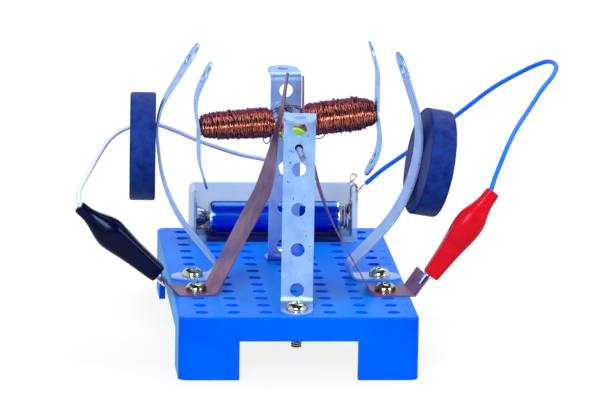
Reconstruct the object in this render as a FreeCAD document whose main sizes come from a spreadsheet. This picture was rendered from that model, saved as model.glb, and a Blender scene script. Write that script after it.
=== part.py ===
import FreeCAD, Part
import math
import os
import re
import Sketcher

# Demonstration electric motor on a perforated plastic base.
# Frame: origin on the floor under the centre of the base, X to the right,
# Y from the free end of the shaft towards the cell holder, Z up. Millimetres and degrees.

Vec = FreeCAD.Vector
os.makedirs("parts", exist_ok=True)
doc = FreeCAD.newDocument("DemonstrationMotor")

# ---------------------------------------------------------------- driving sizes
sizes = {
    # moulded base with a square grid of holes; grid places are counted from its centre
    "gridPitch": 10, "gridColumns": 7, "gridRows": 13, "gridMargin": 7.5,
    "gridHoleDiameter": 4.2, "baseHeight": 20, "deckThickness": 2, "wallThickness": 2,
    "skirtDrop": 7.6, "legWidthX": 19, "legWidthY": 20,
    "baseCornerRadius": 3, "deckEdgeRadius": 0.8,
    # perforated steel strip, bent into the uprights and the pole strips
    "stripWidth": 10, "stripThickness": 0.8, "stripHoleDiameter": 4.4,
    "stripHolePitch": 12.8, "stripHoleStart": 5.6, "stripHoleCount": 5,
    "bendRadius": 3.4, "topBendRadius": 2.2,
    "holeToUpright": 7, "uprightHeight": 62, "flangeLength": 12, "frontFlangeDroop": 5,
    "rearFlangeDroop": -2.5, "frontYaw": -3.8, "frontShift": -0.33, "rearYaw": 4.5,
    "rearShift": 0.2,
    "shaftHeight": 50.6, "shaftHoleDiameter": 2.5,
    # pole strips, seen along the shaft: distances from the shaft's plane and from the deck
    "leftFootCorner": 19, "leftKneeOut": 39.5, "leftKneeUp": 25.4, "leftKneeRadius": 47.5,
    "leftShoulderOut": 42.75, "leftShoulderUp": 52.8, "leftShoulderRadius": 24.8,
    "leftTipOut": 29.1, "leftTipUp": 76.1, "leftPoleYaw": -3, "leftFootRadius": 3.5,
    "rightFootCorner": 15.9, "rightKneeOut": 38.8, "rightKneeUp": 24.2, "rightKneeRadius": 44.5,
    "rightShoulderOut": 43.1, "rightShoulderUp": 47.6, "rightShoulderRadius": 35,
    "rightTipOut": 34.6, "rightTipUp": 73.5, "rightPoleYaw": 6.4, "rightFootRadius": 3,
    "poleFootReach": 6.8, "poleTipHole": 6.5,
    # ferrite disc magnets, each held on its pole strip by its own pull
    "magnetDiameter": 34.6, "magnetThickness": 8.2, "magnetChamfer": 0.8,
    "leftMagnetLean": 0, "leftMagnetDrop": 4.75, "rightMagnetLean": 10.3, "rightMagnetDrop": 0.7,
    # springy copper brushes with a tab for the clip; heights from the shaft's axis
    "brushWidth": 16, "brushThickness": 0.4, "brushTipWidth": 1.6, "brushTaperBelow": 19.6,
    "brushNarrowBelow": 1.7, "brushNarrowWidth": 6.5, "leftBrushKneeBelow": 15.1,
    "leftBrushKneeRadius": 40, "rightBrushKneeBelow": 22.4, "rightBrushKneeRadius": 85,
    "brushNoseAbove": 8.4, "brushNoseRadius": 20,
    "brushTipAbove": 18.9, "brushBend": 2.4,
    "leftBrushCorner": 25.3, "leftBrushKnee": 7.9, "leftBrushNose": 2.85, "leftBrushTip": 1.3,
    "leftBrushYaw": 10, "leftTabOut": 36.8, "leftTabRise": 40.5, "leftTabYaw": 8,
    "rightBrushCorner": 25.3, "rightBrushKnee": 9.1, "rightBrushNose": 2.8, "rightBrushTip": 2.7,
    "rightBrushYaw": 1.8, "rightTabOut": 37.9, "rightTabRise": 54.5, "rightTabYaw": 7.4,
    "tabLength": 7.3, "brushHoleDiameter": 3.6,
    # shaft, commutator and the pieces that turn
    "shaftDiameter": 2, "shaftFrontReach": 16, "shaftRearReach": 3,
    "collarDiameter": 5, "collarLength": 4, "collarGap": 0.3,
    "coreRadius": 3.65, "commutatorLength": 22, "segmentThickness": 0.35,
    "segmentLength": 19, "segmentAngle": 122, "segmentForward": 1,
    "rotorAngle": 5.7, "rotorForward": 4, "rotorWidth": 10,
    "armReach": 28.7, "armBendRadius": 0.9, "armKneeRadius": 16,
    "leftUpKneeOut": 0.6, "leftUpKneeUp": 9.8, "leftUpTipIn": 6, "leftUpTipUp": 21.1,
    "rightUpKneeOut": 1.3, "rightUpKneeUp": 13.2, "rightUpTipIn": 0.5, "rightUpTipUp": 23,
    "leftDownKneeOut": 0.8, "leftDownKneeUp": 10.3, "leftDownTipIn": 1, "leftDownTipUp": 19.8,
    "rightDownKneeOut": 0.4, "rightDownKneeUp": 12, "rightDownTipIn": 5.4,
    "rightDownTipUp": 20.2, "armHoleDiameter": 4, "armHoleInset": 6,
    "windingStart": 4.6, "windingEndGap": 1.1, "windingTaper": 5,
    "leftWindingInner": 3.6, "leftWindingOuter": 3, "rightWindingInner": 4,
    "rightWindingOuter": 4,
    "windingEndBuildUp": 2.4, "coilWireDiameter": 0.5,
    # screws and nuts
    "headDiameter": 6.8, "headHeight": 2.6, "headRound": 1.5, "shankDiameter": 3.4,
    "shankLength": 12, "nutAcross": 6, "nutHeight": 2.8,
    "recessLength": 3.6, "recessWidth": 0.8, "recessDepth": 1.4,
    "holderScrewHead": 5.6, "holderScrewShank": 3, "holderScrewLength": 9,
    # holder for one small round cell, and the cell
    "holderLength": 55.2, "holderDepth": 13.5, "holderForward": 1.25,
    "holderWall": 1.7, "contactRoom": 8.1, "cellLength": "=holderLength - 2 * holderWall - contactRoom",
    "cellDiameter": 10.5, "cellNubDiameter": 3.8, "cellNubLength": 0.8,
    "cellRestGap": 0.2, "holderFloor": 1.8, "holderHeight": 17.5, "holderCornerRadius": 2,
    "contactWidth": 9, "contactThickness": 0.4, "contactHeight": 11, "contactConeFoot": 8,
    "contactConeTip": 4.6,
    "springWire": 0.8, "springRings": 4, "tailWidth": 2.4, "tailDrop": 5.8, "lugReach": 3.4,
    # clips: seen from the mouth of the boot along its axis
    "jawReach": 4, "jawWidth": 2.8, "jawSheet": 0.4, "pivotDistance": 12, "pivotDiameter": 1,
    "pivotLength": 3.4, "earWidth": 1.8, "springDiameter": 2.2, "jawSpringWidth": 0.8,
    "bootLength": 33.2, "bootMouthRadius": 2.9, "bootBellyRadius": 5.05, "bootNeckRadius": 2.2,
    "bootBellyPlace": 20.5, "bootWall": 0.5, "bootShift": 0.8, "crimpInset": 6,
    "clipJawGap": 0.26, "leftClipAside": 29.5, "rightClipAside": 35.5,
    "leftClipStandoff": 0.3, "rightClipStandoff": 0.7,
    # leads
    "leadDiameter": 1.5,
}

sheet = doc.addObject("Spreadsheet::Sheet", "Sizes")
for row, (alias, value) in enumerate(sizes.items(), start=1):
    sheet.set("A%d" % row, alias)
    sheet.set("B%d" % row, str(value))
    sheet.setAlias("B%d" % row, alias)
doc.recompute()


def mm(alias):
    """Value of one cell of the sheet."""
    return float(sheet.get(alias))


def bind(item, path, text):
    """Tie a property to the cells that a formula names."""
    item.setExpression(path, re.sub(r"\b([a-z][A-Za-z]+)\b", cellName, text))


def cellName(match):
    """A cell's full name, or the word unchanged when it isn't an alias."""
    word = match.group(1)
    return "Sizes." + word if word in sizes else word


# ---------------------------------------------------------------- places that pieces share
pitch = mm("gridPitch")
deck = mm("baseHeight")
strip = mm("stripThickness")
axisHeight = deck + mm("shaftHeight")
frontPlane = -6 * pitch + mm("holeToUpright")
rearPlane = 2 * pitch - mm("holeToUpright")
poleRow = -pitch
brushRow = -3 * pitch
columnOut = 3 * pitch
rotorY = poleRow + mm("rotorForward")
drumMiddle = brushRow + mm("segmentForward")
brushSheet = mm("brushThickness")
mainScrews = [
    (mm("frontShift"), -6 * pitch, strip), (mm("rearShift"), 2 * pitch, strip),
    (-columnOut, poleRow, strip), (columnOut, poleRow, strip),
    (-columnOut, brushRow, brushSheet), (columnOut, brushRow, brushSheet),
]
holderRow = 5 * pitch
holderScrewPlaces = [(-pitch, holderRow), (pitch, holderRow)]


# ---------------------------------------------------------------- small tools
def feature(name, shape):
    """A shape that is worked out here from the sheet's values."""
    item = doc.addObject("Part::Feature", name)
    item.Shape = shape
    return item


def cylinder(name, diameterText, length, start, direction):
    """A round bar from a start point along a direction."""
    item = doc.addObject("Part::Cylinder", name)
    bind(item, "Radius", "(%s) / 2" % diameterText)
    item.Height = length
    turn = FreeCAD.Rotation(Vec(0, 0, 1), direction)
    item.Placement = FreeCAD.Placement(start, turn)
    return item


def group(name, items):
    """Several solids that stay apart in one node."""
    item = doc.addObject("Part::Compound", name)
    item.Links = items
    return item


def cut(name, base, tools):
    """The base without all the tools."""
    item = doc.addObject("Part::Cut", name)
    item.Base = base
    item.Tool = tools[0] if len(tools) == 1 else group(name + "Tools", tools)
    return item


def fuse(name, items):
    """Touching solids made one."""
    item = doc.addObject("Part::MultiFuse", name)
    item.Shapes = items
    item.Refine = True
    return item


def common(name, first, second):
    """What two solids share."""
    item = doc.addObject("Part::Common", name)
    item.Base = first
    item.Tool = second
    return item


def extrusion(name, face, direction, lengthText):
    """A face carried both ways from its own plane."""
    item = doc.addObject("Part::Extrusion", name)
    item.Base = feature(name + "Profile", face)
    item.DirMode = "Custom"
    item.Dir = direction
    item.Solid = True
    item.Symmetric = True
    bind(item, "LengthFwd", lengthText)
    return item


def turned(item, centre, axis, degrees):
    """Turn a finished sub-part about an axis through a point."""
    turn = FreeCAD.Placement(Vec(0, 0, 0), FreeCAD.Rotation(axis, degrees), centre)
    item.Placement = turn.multiply(item.Placement)
    return item


def roundedRun(points, radii):
    """Edges of a run of straight lines whose inner corners are arcs of the given radii."""
    edges = []
    start = points[0]
    for before, corner, after, radius in zip(points, points[1:], points[2:], radii):
        back = (before - corner).normalize()
        ahead = (after - corner).normalize()
        half = (math.pi - back.getAngle(ahead)) / 2
        reach = radius * math.tan(half)
        middle = (back + ahead).normalize() * (radius / math.cos(half) - radius)
        arcStart = corner + back * reach
        arcEnd = corner + ahead * reach
        edges.append(Part.LineSegment(start, arcStart).toShape())
        edges.append(Part.Arc(arcStart, corner + middle, arcEnd).toShape())
        start = arcEnd
    edges.append(Part.LineSegment(start, points[-1]).toShape())
    return edges


def bentSheet(points, radii, thickness, normal):
    """Face of a bent sheet: its middle line, corner radii and thickness, in a plane."""
    directions = [(b - a).normalize() for a, b in zip(points, points[1:])]
    sides = [normal.cross(step) for step in directions]
    half = thickness / 2
    edges = []
    ends = []
    for sign in (1, -1):
        line = [points[0] + sides[0] * sign * half]
        bends = []
        for index in range(1, len(directions)):
            first, second = sides[index - 1], sides[index]
            shift = (first + second) * (sign * half / (1 + first.dot(second)))
            line.append(points[index] + shift)
            turnsTo = directions[index - 1].cross(directions[index]).dot(normal)
            bends.append(radii[index - 1] - sign * half * math.copysign(1, turnsTo))
        line.append(points[-1] + sides[-1] * sign * half)
        edges.append(roundedRun(line, bends))
        ends.append((line[0], line[-1]))
    caps = [Part.LineSegment(ends[0][k], ends[1][k]).toShape() for k in (0, 1)]
    loop = Part.__sortEdges__(edges[0] + [caps[1]] + edges[1] + [caps[0]])
    return Part.Face(Part.Wire(loop))


def endTrim(name, tip, along, normal, width):
    """What is cut off the end of a strip to leave a full round."""
    depth = 3
    spare = 1
    block = Part.makeBox(width / 2 + spare, width + 2 * spare, 2 * depth,
                         Vec(0, -width / 2 - spare, -depth))
    disc = Part.makeCylinder(width / 2, 2 * depth, Vec(0, 0, -depth))
    shape = block.cut(disc)
    side = normal.cross(along)
    frame = FreeCAD.Matrix(
        along.x, side.x, normal.x, 0,
        along.y, side.y, normal.y, 0,
        along.z, side.z, normal.z, 0,
        0, 0, 0, 1)
    item = feature(name, shape)
    item.Placement = FreeCAD.Placement(tip - along * (width / 2),
                                       FreeCAD.Placement(frame).Rotation)
    return item


def plane(body, role):
    """One of a body's own origin planes."""
    return next(item for item in body.Origin.OriginFeatures if item.Role == role)


def centredRectangle(body, name, role, widthText, heightText):
    """Sketch of a rectangle about the origin, its two sizes tied to the sheet."""
    sketch = body.newObject("Sketcher::SketchObject", name)
    sketch.AttachmentSupport = [(plane(body, role), "")]
    sketch.MapMode = "FlatFace"
    corners = [Vec(-9, -9, 0), Vec(9, -9, 0), Vec(9, 9, 0), Vec(-9, 9, 0)]
    for index in range(4):
        sketch.addGeometry(Part.LineSegment(corners[index], corners[(index + 1) % 4]), False)
    for index in range(4):
        sketch.addConstraint(Sketcher.Constraint("Coincident", index, 2, (index + 1) % 4, 1))
        kind = "Vertical" if index % 2 else "Horizontal"
        sketch.addConstraint(Sketcher.Constraint(kind, index))
    sketch.addConstraint(Sketcher.Constraint("Symmetric", 0, 1, 2, 1, -1, 1))
    across = sketch.addConstraint(Sketcher.Constraint("DistanceX", 0, 1, 0, 2, 18.0))
    upwards = sketch.addConstraint(Sketcher.Constraint("DistanceY", 1, 1, 1, 2, 18.0))
    bind(sketch, "Constraints[%d]" % across, widthText)
    bind(sketch, "Constraints[%d]" % upwards, heightText)
    return sketch


def placedCircle(body, name, role, diameterText, acrossText, upText):
    """Sketch of a circle, its size and place tied to the sheet."""
    sketch = body.newObject("Sketcher::SketchObject", name)
    sketch.AttachmentSupport = [(plane(body, role), "")]
    sketch.MapMode = "FlatFace"
    sketch.addGeometry(Part.Circle(Vec(5, 5, 0), Vec(0, 0, 1), 2), False)
    size = sketch.addConstraint(Sketcher.Constraint("Diameter", 0, 4.0))
    bind(sketch, "Constraints[%d]" % size, diameterText)
    if acrossText is None:
        sketch.addConstraint(Sketcher.Constraint("Coincident", 0, 3, -1, 1))
        return sketch
    across = sketch.addConstraint(Sketcher.Constraint("DistanceX", -1, 1, 0, 3, 5.0))
    upwards = sketch.addConstraint(Sketcher.Constraint("DistanceY", -1, 1, 0, 3, 5.0))
    bind(sketch, "Constraints[%d]" % across, acrossText)
    bind(sketch, "Constraints[%d]" % upwards, upText)
    return sketch


def pad(body, sketch, lengthText, sides="One side"):
    """Pad of a sketch."""
    item = body.newObject("PartDesign::Pad", sketch.Name + "Pad")
    item.Profile = sketch
    item.SideType = sides
    bind(item, "Length", lengthText)
    doc.recompute()
    return item


def pocket(body, sketch, lengthText, upwards=False, through=False):
    """Pocket of a sketch, to a depth or right through both ways."""
    item = body.newObject("PartDesign::Pocket", sketch.Name + "Pocket")
    item.Profile = sketch
    if through:
        item.SideType = "Symmetric"
        item.Type = "ThroughAll"
    else:
        item.Reversed = upwards
        bind(item, "Length", lengthText)
    doc.recompute()
    return item


def edgeNames(shape, wanted):
    """Names of the edges for which a test holds."""
    return ["Edge%d" % (n + 1) for n, edge in enumerate(shape.Edges) if wanted(edge)]


# ---------------------------------------------------------------- moulded base
def makeBase():
    body = doc.addObject("PartDesign::Body", "base_plate")
    widthText = "((gridColumns - 1) * gridPitch + 2 * gridMargin)"
    lengthText = "((gridRows - 1) * gridPitch + 2 * gridMargin)"
    outline = centredRectangle(body, "BaseOutline", "XY_Plane", widthText, lengthText)
    block = pad(body, outline, "baseHeight")

    corners = body.newObject("PartDesign::Fillet", "BaseCorners")
    upright = edgeNames(block.Shape, lambda e: e.BoundBox.ZLength > deck - 0.1)
    corners.Base = (block, upright)
    bind(corners, "Radius", "baseCornerRadius")
    doc.recompute()

    rim = body.newObject("PartDesign::Fillet", "DeckEdge")
    top = edgeNames(corners.Shape, lambda e: e.BoundBox.ZMin > deck - 0.01)
    rim.Base = (corners, top)
    bind(rim, "Radius", "deckEdgeRadius")
    doc.recompute()

    inside = centredRectangle(body, "Hollow", "XY_Plane", widthText + " - 2 * wallThickness",
                              lengthText + " - 2 * wallThickness")
    pocket(body, inside, "baseHeight - deckThickness", upwards=True)

    sideWindow = centredRectangle(body, "SideWindow", "YZ_Plane",
                                  lengthText + " - 2 * legWidthY",
                                  "2 * (baseHeight - skirtDrop)")
    pocket(body, sideWindow, "", through=True)
    endWindow = centredRectangle(body, "EndWindow", "XZ_Plane",
                                 widthText + " - 2 * legWidthX",
                                 "2 * (baseHeight - skirtDrop)")
    pocket(body, endWindow, "", through=True)

    spot = placedCircle(body, "GridHole", "XY_Plane", "gridHoleDiameter",
                        "(gridColumns - 1) * gridPitch / 2", "(gridRows - 1) * gridPitch / 2")
    hole = pocket(body, spot, "", through=True)
    grid = body.newObject("PartDesign::LinearPattern", "HoleGrid")
    grid.Originals = [hole]
    grid.Direction = (spot, ["H_Axis"])
    grid.Direction2 = (spot, ["V_Axis"])
    grid.Reversed = True
    grid.Reversed2 = True
    bind(grid, "Length", "(gridColumns - 1) * gridPitch")
    bind(grid, "Length2", "(gridRows - 1) * gridPitch")
    bind(grid, "Occurrences", "gridColumns")
    bind(grid, "Occurrences2", "gridRows")
    body.Tip = grid
    doc.recompute()
    return body


# ---------------------------------------------------------------- steel uprights
def makeUpright(place, planeY, outward):
    """Bracket with a foot and a top flange, both bent away from the rotor.

    It stands a little turned about its screw, which sits to one side in its deck hole.
    """
    name = place + "_upright"
    droop = math.radians(mm(place + "FlangeDroop"))
    footEnd = mm("holeToUpright") + mm("stripWidth") / 2
    middle = deck + strip / 2
    top = deck + mm("uprightHeight")
    flange = mm("flangeLength")
    flangeWay = Vec(0, outward * math.cos(droop), -math.sin(droop))
    points = [
        Vec(0, planeY + outward * footEnd, middle),
        Vec(0, planeY, middle),
        Vec(0, planeY, top),
        Vec(0, planeY, top) + flangeWay * flange,
    ]
    face = bentSheet(points, [mm("bendRadius"), mm("topBendRadius")], strip, Vec(1, 0, 0))
    blank = extrusion(name + "Blank", face, Vec(1, 0, 0), "stripWidth")

    tools = []
    width = mm("stripWidth")
    footHole = Vec(0, planeY + outward * mm("holeToUpright"), deck - 1)
    tools.append(cylinder(name + "FootHole", "shankDiameter + 0.2", 3, footHole, Vec(0, 0, 1)))
    for index in range(int(mm("stripHoleCount"))):
        height = deck + mm("stripHoleStart") + index * mm("stripHolePitch")
        start = Vec(0, planeY - 3, height)
        tools.append(cylinder("%sHole%d" % (name, index), "stripHoleDiameter", 6, start,
                              Vec(0, 1, 0)))
    flangeUp = Vec(0, outward * math.sin(droop), math.cos(droop))
    flangeHole = Vec(0, planeY, top) + flangeWay * mm("holeToUpright") - flangeUp * 2
    tools.append(cylinder(name + "FlangeHole", "stripHoleDiameter - 0.8", 4, flangeHole,
                          flangeUp))
    tools.append(endTrim(name + "FootRound", points[0], Vec(0, outward, 0), Vec(0, 0, 1), width))
    tools.append(endTrim(name + "FlangeRound", points[3], flangeWay, flangeUp, width))
    bracket = cut(name + "Bracket", blank, tools)
    doc.recompute()
    screwPlace = Vec(0, planeY + outward * mm("holeToUpright"), 0)
    turned(bracket, screwPlace, Vec(0, 0, 1), mm(place + "Yaw"))
    bracket.Placement.Base += Vec(mm(place + "Shift"), 0, 0)
    lift = (mm("shaftHoleDiameter") - mm("shaftDiameter")) / 2 - 0.05
    bearing = Vec(0, planeY - 3, axisHeight + lift)
    return cut(name, bracket, [cylinder(name + "ShaftHole", "shaftHoleDiameter", 6, bearing,
                                        Vec(0, 1, 0))])


# ---------------------------------------------------------------- pole strips and magnets
def polePoints(side):
    """Middle line of a pole strip, from the end of its foot to its tip, and its bend radii."""
    prefix, sign = ("left", -1) if side == "left" else ("right", 1)

    def spot(out, height):
        return Vec(sign * out, poleRow, deck + height)

    points = [
        spot(columnOut + mm("poleFootReach"), strip / 2),
        spot(mm(prefix + "FootCorner"), strip / 2),
        spot(mm(prefix + "KneeOut"), mm(prefix + "KneeUp")),
        spot(mm(prefix + "ShoulderOut"), mm(prefix + "ShoulderUp")),
        spot(mm(prefix + "TipOut"), mm(prefix + "TipUp")),
    ]
    knee = points[2] - points[1]
    run = points[3] - points[2]
    tip = points[4] - points[3]
    kneeReach = mm(prefix + "KneeRadius") * math.tan(knee.getAngle(run) / 2)
    spare = run.Length - kneeReach - 0.1
    shoulderLimit = min(spare, tip.Length * 0.9) / math.tan(run.getAngle(tip) / 2)
    shoulder = min(mm(prefix + "ShoulderRadius"), shoulderLimit)
    return points, [mm(prefix + "FootRadius"), mm(prefix + "KneeRadius"), shoulder], sign


def makePoleStrip(side):
    name = side + "_pole_strip"
    points, radii, sign = polePoints(side)
    face = bentSheet(points, radii, strip, Vec(0, 1, 0))
    blank = extrusion(name + "Blank", face, Vec(0, 1, 0), "stripWidth")
    width = mm("stripWidth")
    along = (points[4] - points[3]).normalize()
    across = Vec(0, 1, 0)
    outward = across.cross(along) * sign
    tipHole = points[4] - along * mm("poleTipHole") - outward * 3
    footHole = Vec(sign * columnOut, poleRow, deck - 1)
    tools = [
        cylinder(name + "FootHole", "shankDiameter + 0.2", 3, footHole, Vec(0, 0, 1)),
        cylinder(name + "TipHole", "stripHoleDiameter", 6, tipHole, outward),
        endTrim(name + "FootRound", points[0], Vec(sign, 0, 0), Vec(0, 0, 1), width),
        endTrim(name + "TipRound", points[4], along, outward, width),
    ]
    item = cut(name, blank, tools)
    doc.recompute()
    return turned(item, Vec(sign * columnOut, poleRow, deck), Vec(0, 0, 1),
                  mm(side + "PoleYaw"))


def makeMagnet(side):
    """Disc whose flat face touches the outside of the strip's bulge."""
    body = doc.addObject("PartDesign::Body", side + "_magnet")
    sketch = placedCircle(body, side + "MagnetCircle", "YZ_Plane", "magnetDiameter", None, None)
    disc = pad(body, sketch, "magnetThickness", "Symmetric")
    rim = body.newObject("PartDesign::Chamfer", side + "MagnetRim")
    rim.Base = (disc, edgeNames(disc.Shape, lambda e: e.Curve.TypeId == "Part::GeomCircle"))
    bind(rim, "Size", "magnetChamfer")
    body.Tip = rim
    doc.recompute()

    points, radii, sign = polePoints(side)
    back = (points[2] - points[3]).normalize()
    ahead = (points[4] - points[3]).normalize()
    half = (math.pi - back.getAngle(ahead)) / 2
    arcCentre = points[3] + (back + ahead).normalize() * (radii[2] / math.cos(half))
    lean = math.radians(mm(side + "MagnetLean"))
    outward = Vec(sign * math.cos(lean), 0, -math.sin(lean))
    downFace = Vec(-sign * math.sin(lean), 0, -math.cos(lean))
    touch = arcCentre + outward * (radii[2] + strip / 2)
    centre = touch + outward * (mm("magnetThickness") / 2) + downFace * mm(side + "MagnetDrop")
    body.Placement = FreeCAD.Placement(centre, FreeCAD.Rotation(Vec(1, 0, 0), outward))
    return turned(body, Vec(sign * columnOut, poleRow, deck), Vec(0, 0, 1),
                  mm(side + "PoleYaw"))


# ---------------------------------------------------------------- copper brushes
def tabLine(side):
    """The fold of a brush's tab at the brush's middle, and the way the tab rises."""
    sign = -1 if side == "left" else 1
    rise = math.radians(mm(side + "TabRise"))
    yaw = FreeCAD.Rotation(Vec(0, 0, 1), mm(side + "TabYaw"))
    fold = Vec(sign * mm(side + "TabOut"), brushRow, deck + brushSheet / 2)
    upTab = yaw.multVec(Vec(sign * math.cos(rise), 0, math.sin(rise)))
    return fold, upTab, yaw.multVec(Vec(0, 1, 0)), sign


def makeBrush(side):
    name = side + "_brush"
    fold, upTab, foldWay, sign = tabLine(side)
    middle = deck + brushSheet / 2
    points = [
        Vec(sign * columnOut, brushRow, middle),
        Vec(sign * mm(side + "BrushCorner"), brushRow, middle),
        Vec(sign * mm(side + "BrushKnee"), brushRow, 
            axisHeight - mm(side + "BrushKneeBelow")),
        Vec(sign * mm(side + "BrushNose"), brushRow, axisHeight + mm("brushNoseAbove")),
        Vec(sign * mm(side + "BrushTip"), brushRow, axisHeight + mm("brushTipAbove")),
    ]
    radii = [mm("brushBend"), mm(side + "BrushKneeRadius"), mm("brushNoseRadius")]
    face = bentSheet(points, radii, brushSheet, Vec(0, 1, 0))
    riser = extrusion(name + "Riser", face, Vec(0, 1, 0), "brushWidth")

    wide = mm("brushWidth") / 2
    narrow = mm("brushTipWidth") / 2
    taper = axisHeight - mm("brushTaperBelow")
    waist = axisHeight - mm("brushNarrowBelow")
    slim = mm("brushNarrowWidth") / 2
    top = axisHeight + mm("brushTipAbove") + 1
    outline = [(-wide, deck - 1), (wide, deck - 1), (wide, taper), (slim, waist), (narrow, top),
               (-narrow, top), (-slim, waist), (-wide, taper), (-wide, deck - 1)]
    ring = Part.makePolygon([Vec(0, brushRow + y, z) for y, z in outline])
    mask = extrusion(name + "Outline", Part.Face(ring), Vec(1, 0, 0), "8 * gridPitch")
    blade = common(name + "Blade", riser, mask)
    doc.recompute()
    pivot = Vec(sign * columnOut, brushRow, deck)
    turned(blade, pivot, Vec(0, 0, 1), mm(side + "BrushYaw"))

    half = foldWay * (mm("brushWidth") / 2 / foldWay.y)
    yawed = FreeCAD.Rotation(Vec(0, 0, 1), mm(side + "BrushYaw"))
    inner = [pivot + yawed.multVec(Vec(0, y * wide, 0)) for y in (-1, 1)]
    floorFold = Vec(fold.x, fold.y, deck)
    footRing = Part.makePolygon([inner[0], inner[1], floorFold + half, floorFold - half, inner[0]])
    foot = feature(name + "Foot", Part.Face(footRing).extrude(Vec(0, 0, brushSheet)))

    normal = upTab.cross(foldWay).normalize() * (brushSheet / 2)
    tab = upTab * mm("tabLength")
    tabCorners = [fold + half - normal, fold - half - normal,
                  fold - half + tab - normal, fold + half + tab - normal]
    tabFace = Part.Face(Part.makePolygon(tabCorners + [tabCorners[0]]))
    tabSheet = feature(name + "Tab", tabFace.extrude(normal * 2))
    bend = feature(name + "Fold", Part.makeCylinder(brushSheet / 2, half.Length * 2,
                                                    fold - half, half))
    whole = fuse(name + "Whole", [blade, foot, tabSheet, bend])
    hole = cylinder(name + "Hole", "brushHoleDiameter", 3, pivot - Vec(0, 0, 1), Vec(0, 0, 1))
    return cut(name, whole, [hole])


# ---------------------------------------------------------------- shaft and what turns with it
def onAxis(y):
    return Vec(0, y, axisHeight)


def makeShaftGroup():
    front = frontPlane - mm("shaftFrontReach")
    rear = rearPlane + mm("shaftRearReach")
    along = Vec(0, 1, 0)
    shaft = cylinder("shaft", "shaftDiameter", rear - front, onAxis(front), along)

    collars = []
    gap = strip / 2 + mm("collarGap")
    length = mm("collarLength")
    for place, start in (("Front", frontPlane + gap), ("Rear", rearPlane - gap - length)):
        ring = cylinder("collar" + place, "collarDiameter", length, onAxis(start), along)
        bore = cylinder("collarBore" + place, "shaftDiameter", length, onAxis(start), along)
        collars.append(cut("collarRing" + place, ring, [bore]))
    collarNode = group("shaft_collars", collars)

    half = mm("commutatorLength") / 2
    start = drumMiddle - half
    drum = cylinder("drum", "2 * coreRadius", 2 * half, onAxis(start), along)
    drumBore = cylinder("drumBore", "shaftDiameter", 2 * half, onAxis(start), along)
    core = cut("commutator_core", drum, [drumBore])
    return [shaft, collarNode, core]


def makeSegments():
    """Two copper shells on the core, with a gap at each side."""
    inner = mm("coreRadius")
    outer = inner + mm("segmentThickness")
    length = mm("segmentLength")
    start = drumMiddle + mm("commutatorLength") / 2 - length
    span = mm("segmentAngle")
    items = []
    for name, middle in (("upper_segment", 90), ("lower_segment", 270)):
        low = math.radians(middle - span / 2 + mm("rotorAngle"))
        high = math.radians(middle + span / 2 + mm("rotorAngle"))
        mid = (low + high) / 2

        def ring(radius, angle):
            return onAxis(start) + Vec(radius * math.cos(angle), 0, radius * math.sin(angle))

        edges = [
            Part.Arc(ring(outer, low), ring(outer, mid), ring(outer, high)).toShape(),
            Part.LineSegment(ring(outer, high), ring(inner, high)).toShape(),
            Part.Arc(ring(inner, high), ring(inner, mid), ring(inner, low)).toShape(),
            Part.LineSegment(ring(inner, low), ring(outer, low)).toShape(),
        ]
        face = Part.Face(Part.Wire(edges))
        items.append(feature(name, face.extrude(Vec(0, length, 0))))
    return items


def rotorSpot(across, up, y=None):
    """A point of the rotor before it is turned to its rest angle."""
    return Vec(across, rotorY if y is None else y, axisHeight + up)


def makeCoreStrips():
    """Two bent strips, back to back, each half round the shaft in its middle."""
    items = []
    half = strip / 2
    reach = mm("armReach")
    for name, sign, way in (("upper_core_strip", 1, "Up"), ("lower_core_strip", -1, "Down")):
        points = []
        for arm, side in (("right" + way, 1), ("left" + way, -1)):
            run = [
                rotorSpot(side * (reach - mm(arm + "TipIn")), sign * mm(arm + "TipUp")),
                rotorSpot(side * (reach + mm(arm + "KneeOut")), sign * mm(arm + "KneeUp")),
                rotorSpot(side * reach, sign * half),
            ]
            points += run if side > 0 else run[::-1]
        bend = mm("armBendRadius")
        knee = mm("armKneeRadius")
        face = bentSheet(points, [knee, bend, bend, knee], strip, Vec(0, 1, 0))
        blank = extrusion(name + "Blank", face, Vec(0, 1, 0), "rotorWidth")
        width = mm("rotorWidth")
        back = rotorY - width / 2
        saddle = cylinder(name + "Saddle", "shaftDiameter + 2 * stripThickness", width,
                          onAxis(back), Vec(0, 1, 0))
        keep = Part.makeBox(2 * columnOut, width, columnOut,
                            Vec(-columnOut, back, axisHeight if sign > 0 else axisHeight - columnOut))
        saddleHalf = common(name + "SaddleHalf", saddle, feature(name + "Side", keep))
        whole = fuse(name + "Whole", [blank, saddleHalf])
        tools = [cylinder(name + "ShaftWay", "shaftDiameter", width, onAxis(back), Vec(0, 1, 0))]
        for index, end in enumerate((0, -1)):
            tip = points[end]
            inner = points[1 if end == 0 else -2]
            along = (tip - inner).normalize()
            normal = along.cross(Vec(0, 1, 0))
            start = tip - along * mm("armHoleInset") - normal * 2
            tools.append(cylinder("%sArmHole%d" % (name, index), "armHoleDiameter", 4, start,
                                  normal))
            tools.append(endTrim("%sArmRound%d" % (name, index), tip, along, normal, width))
        items.append(cut(name, whole, tools))
    return items


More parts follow.
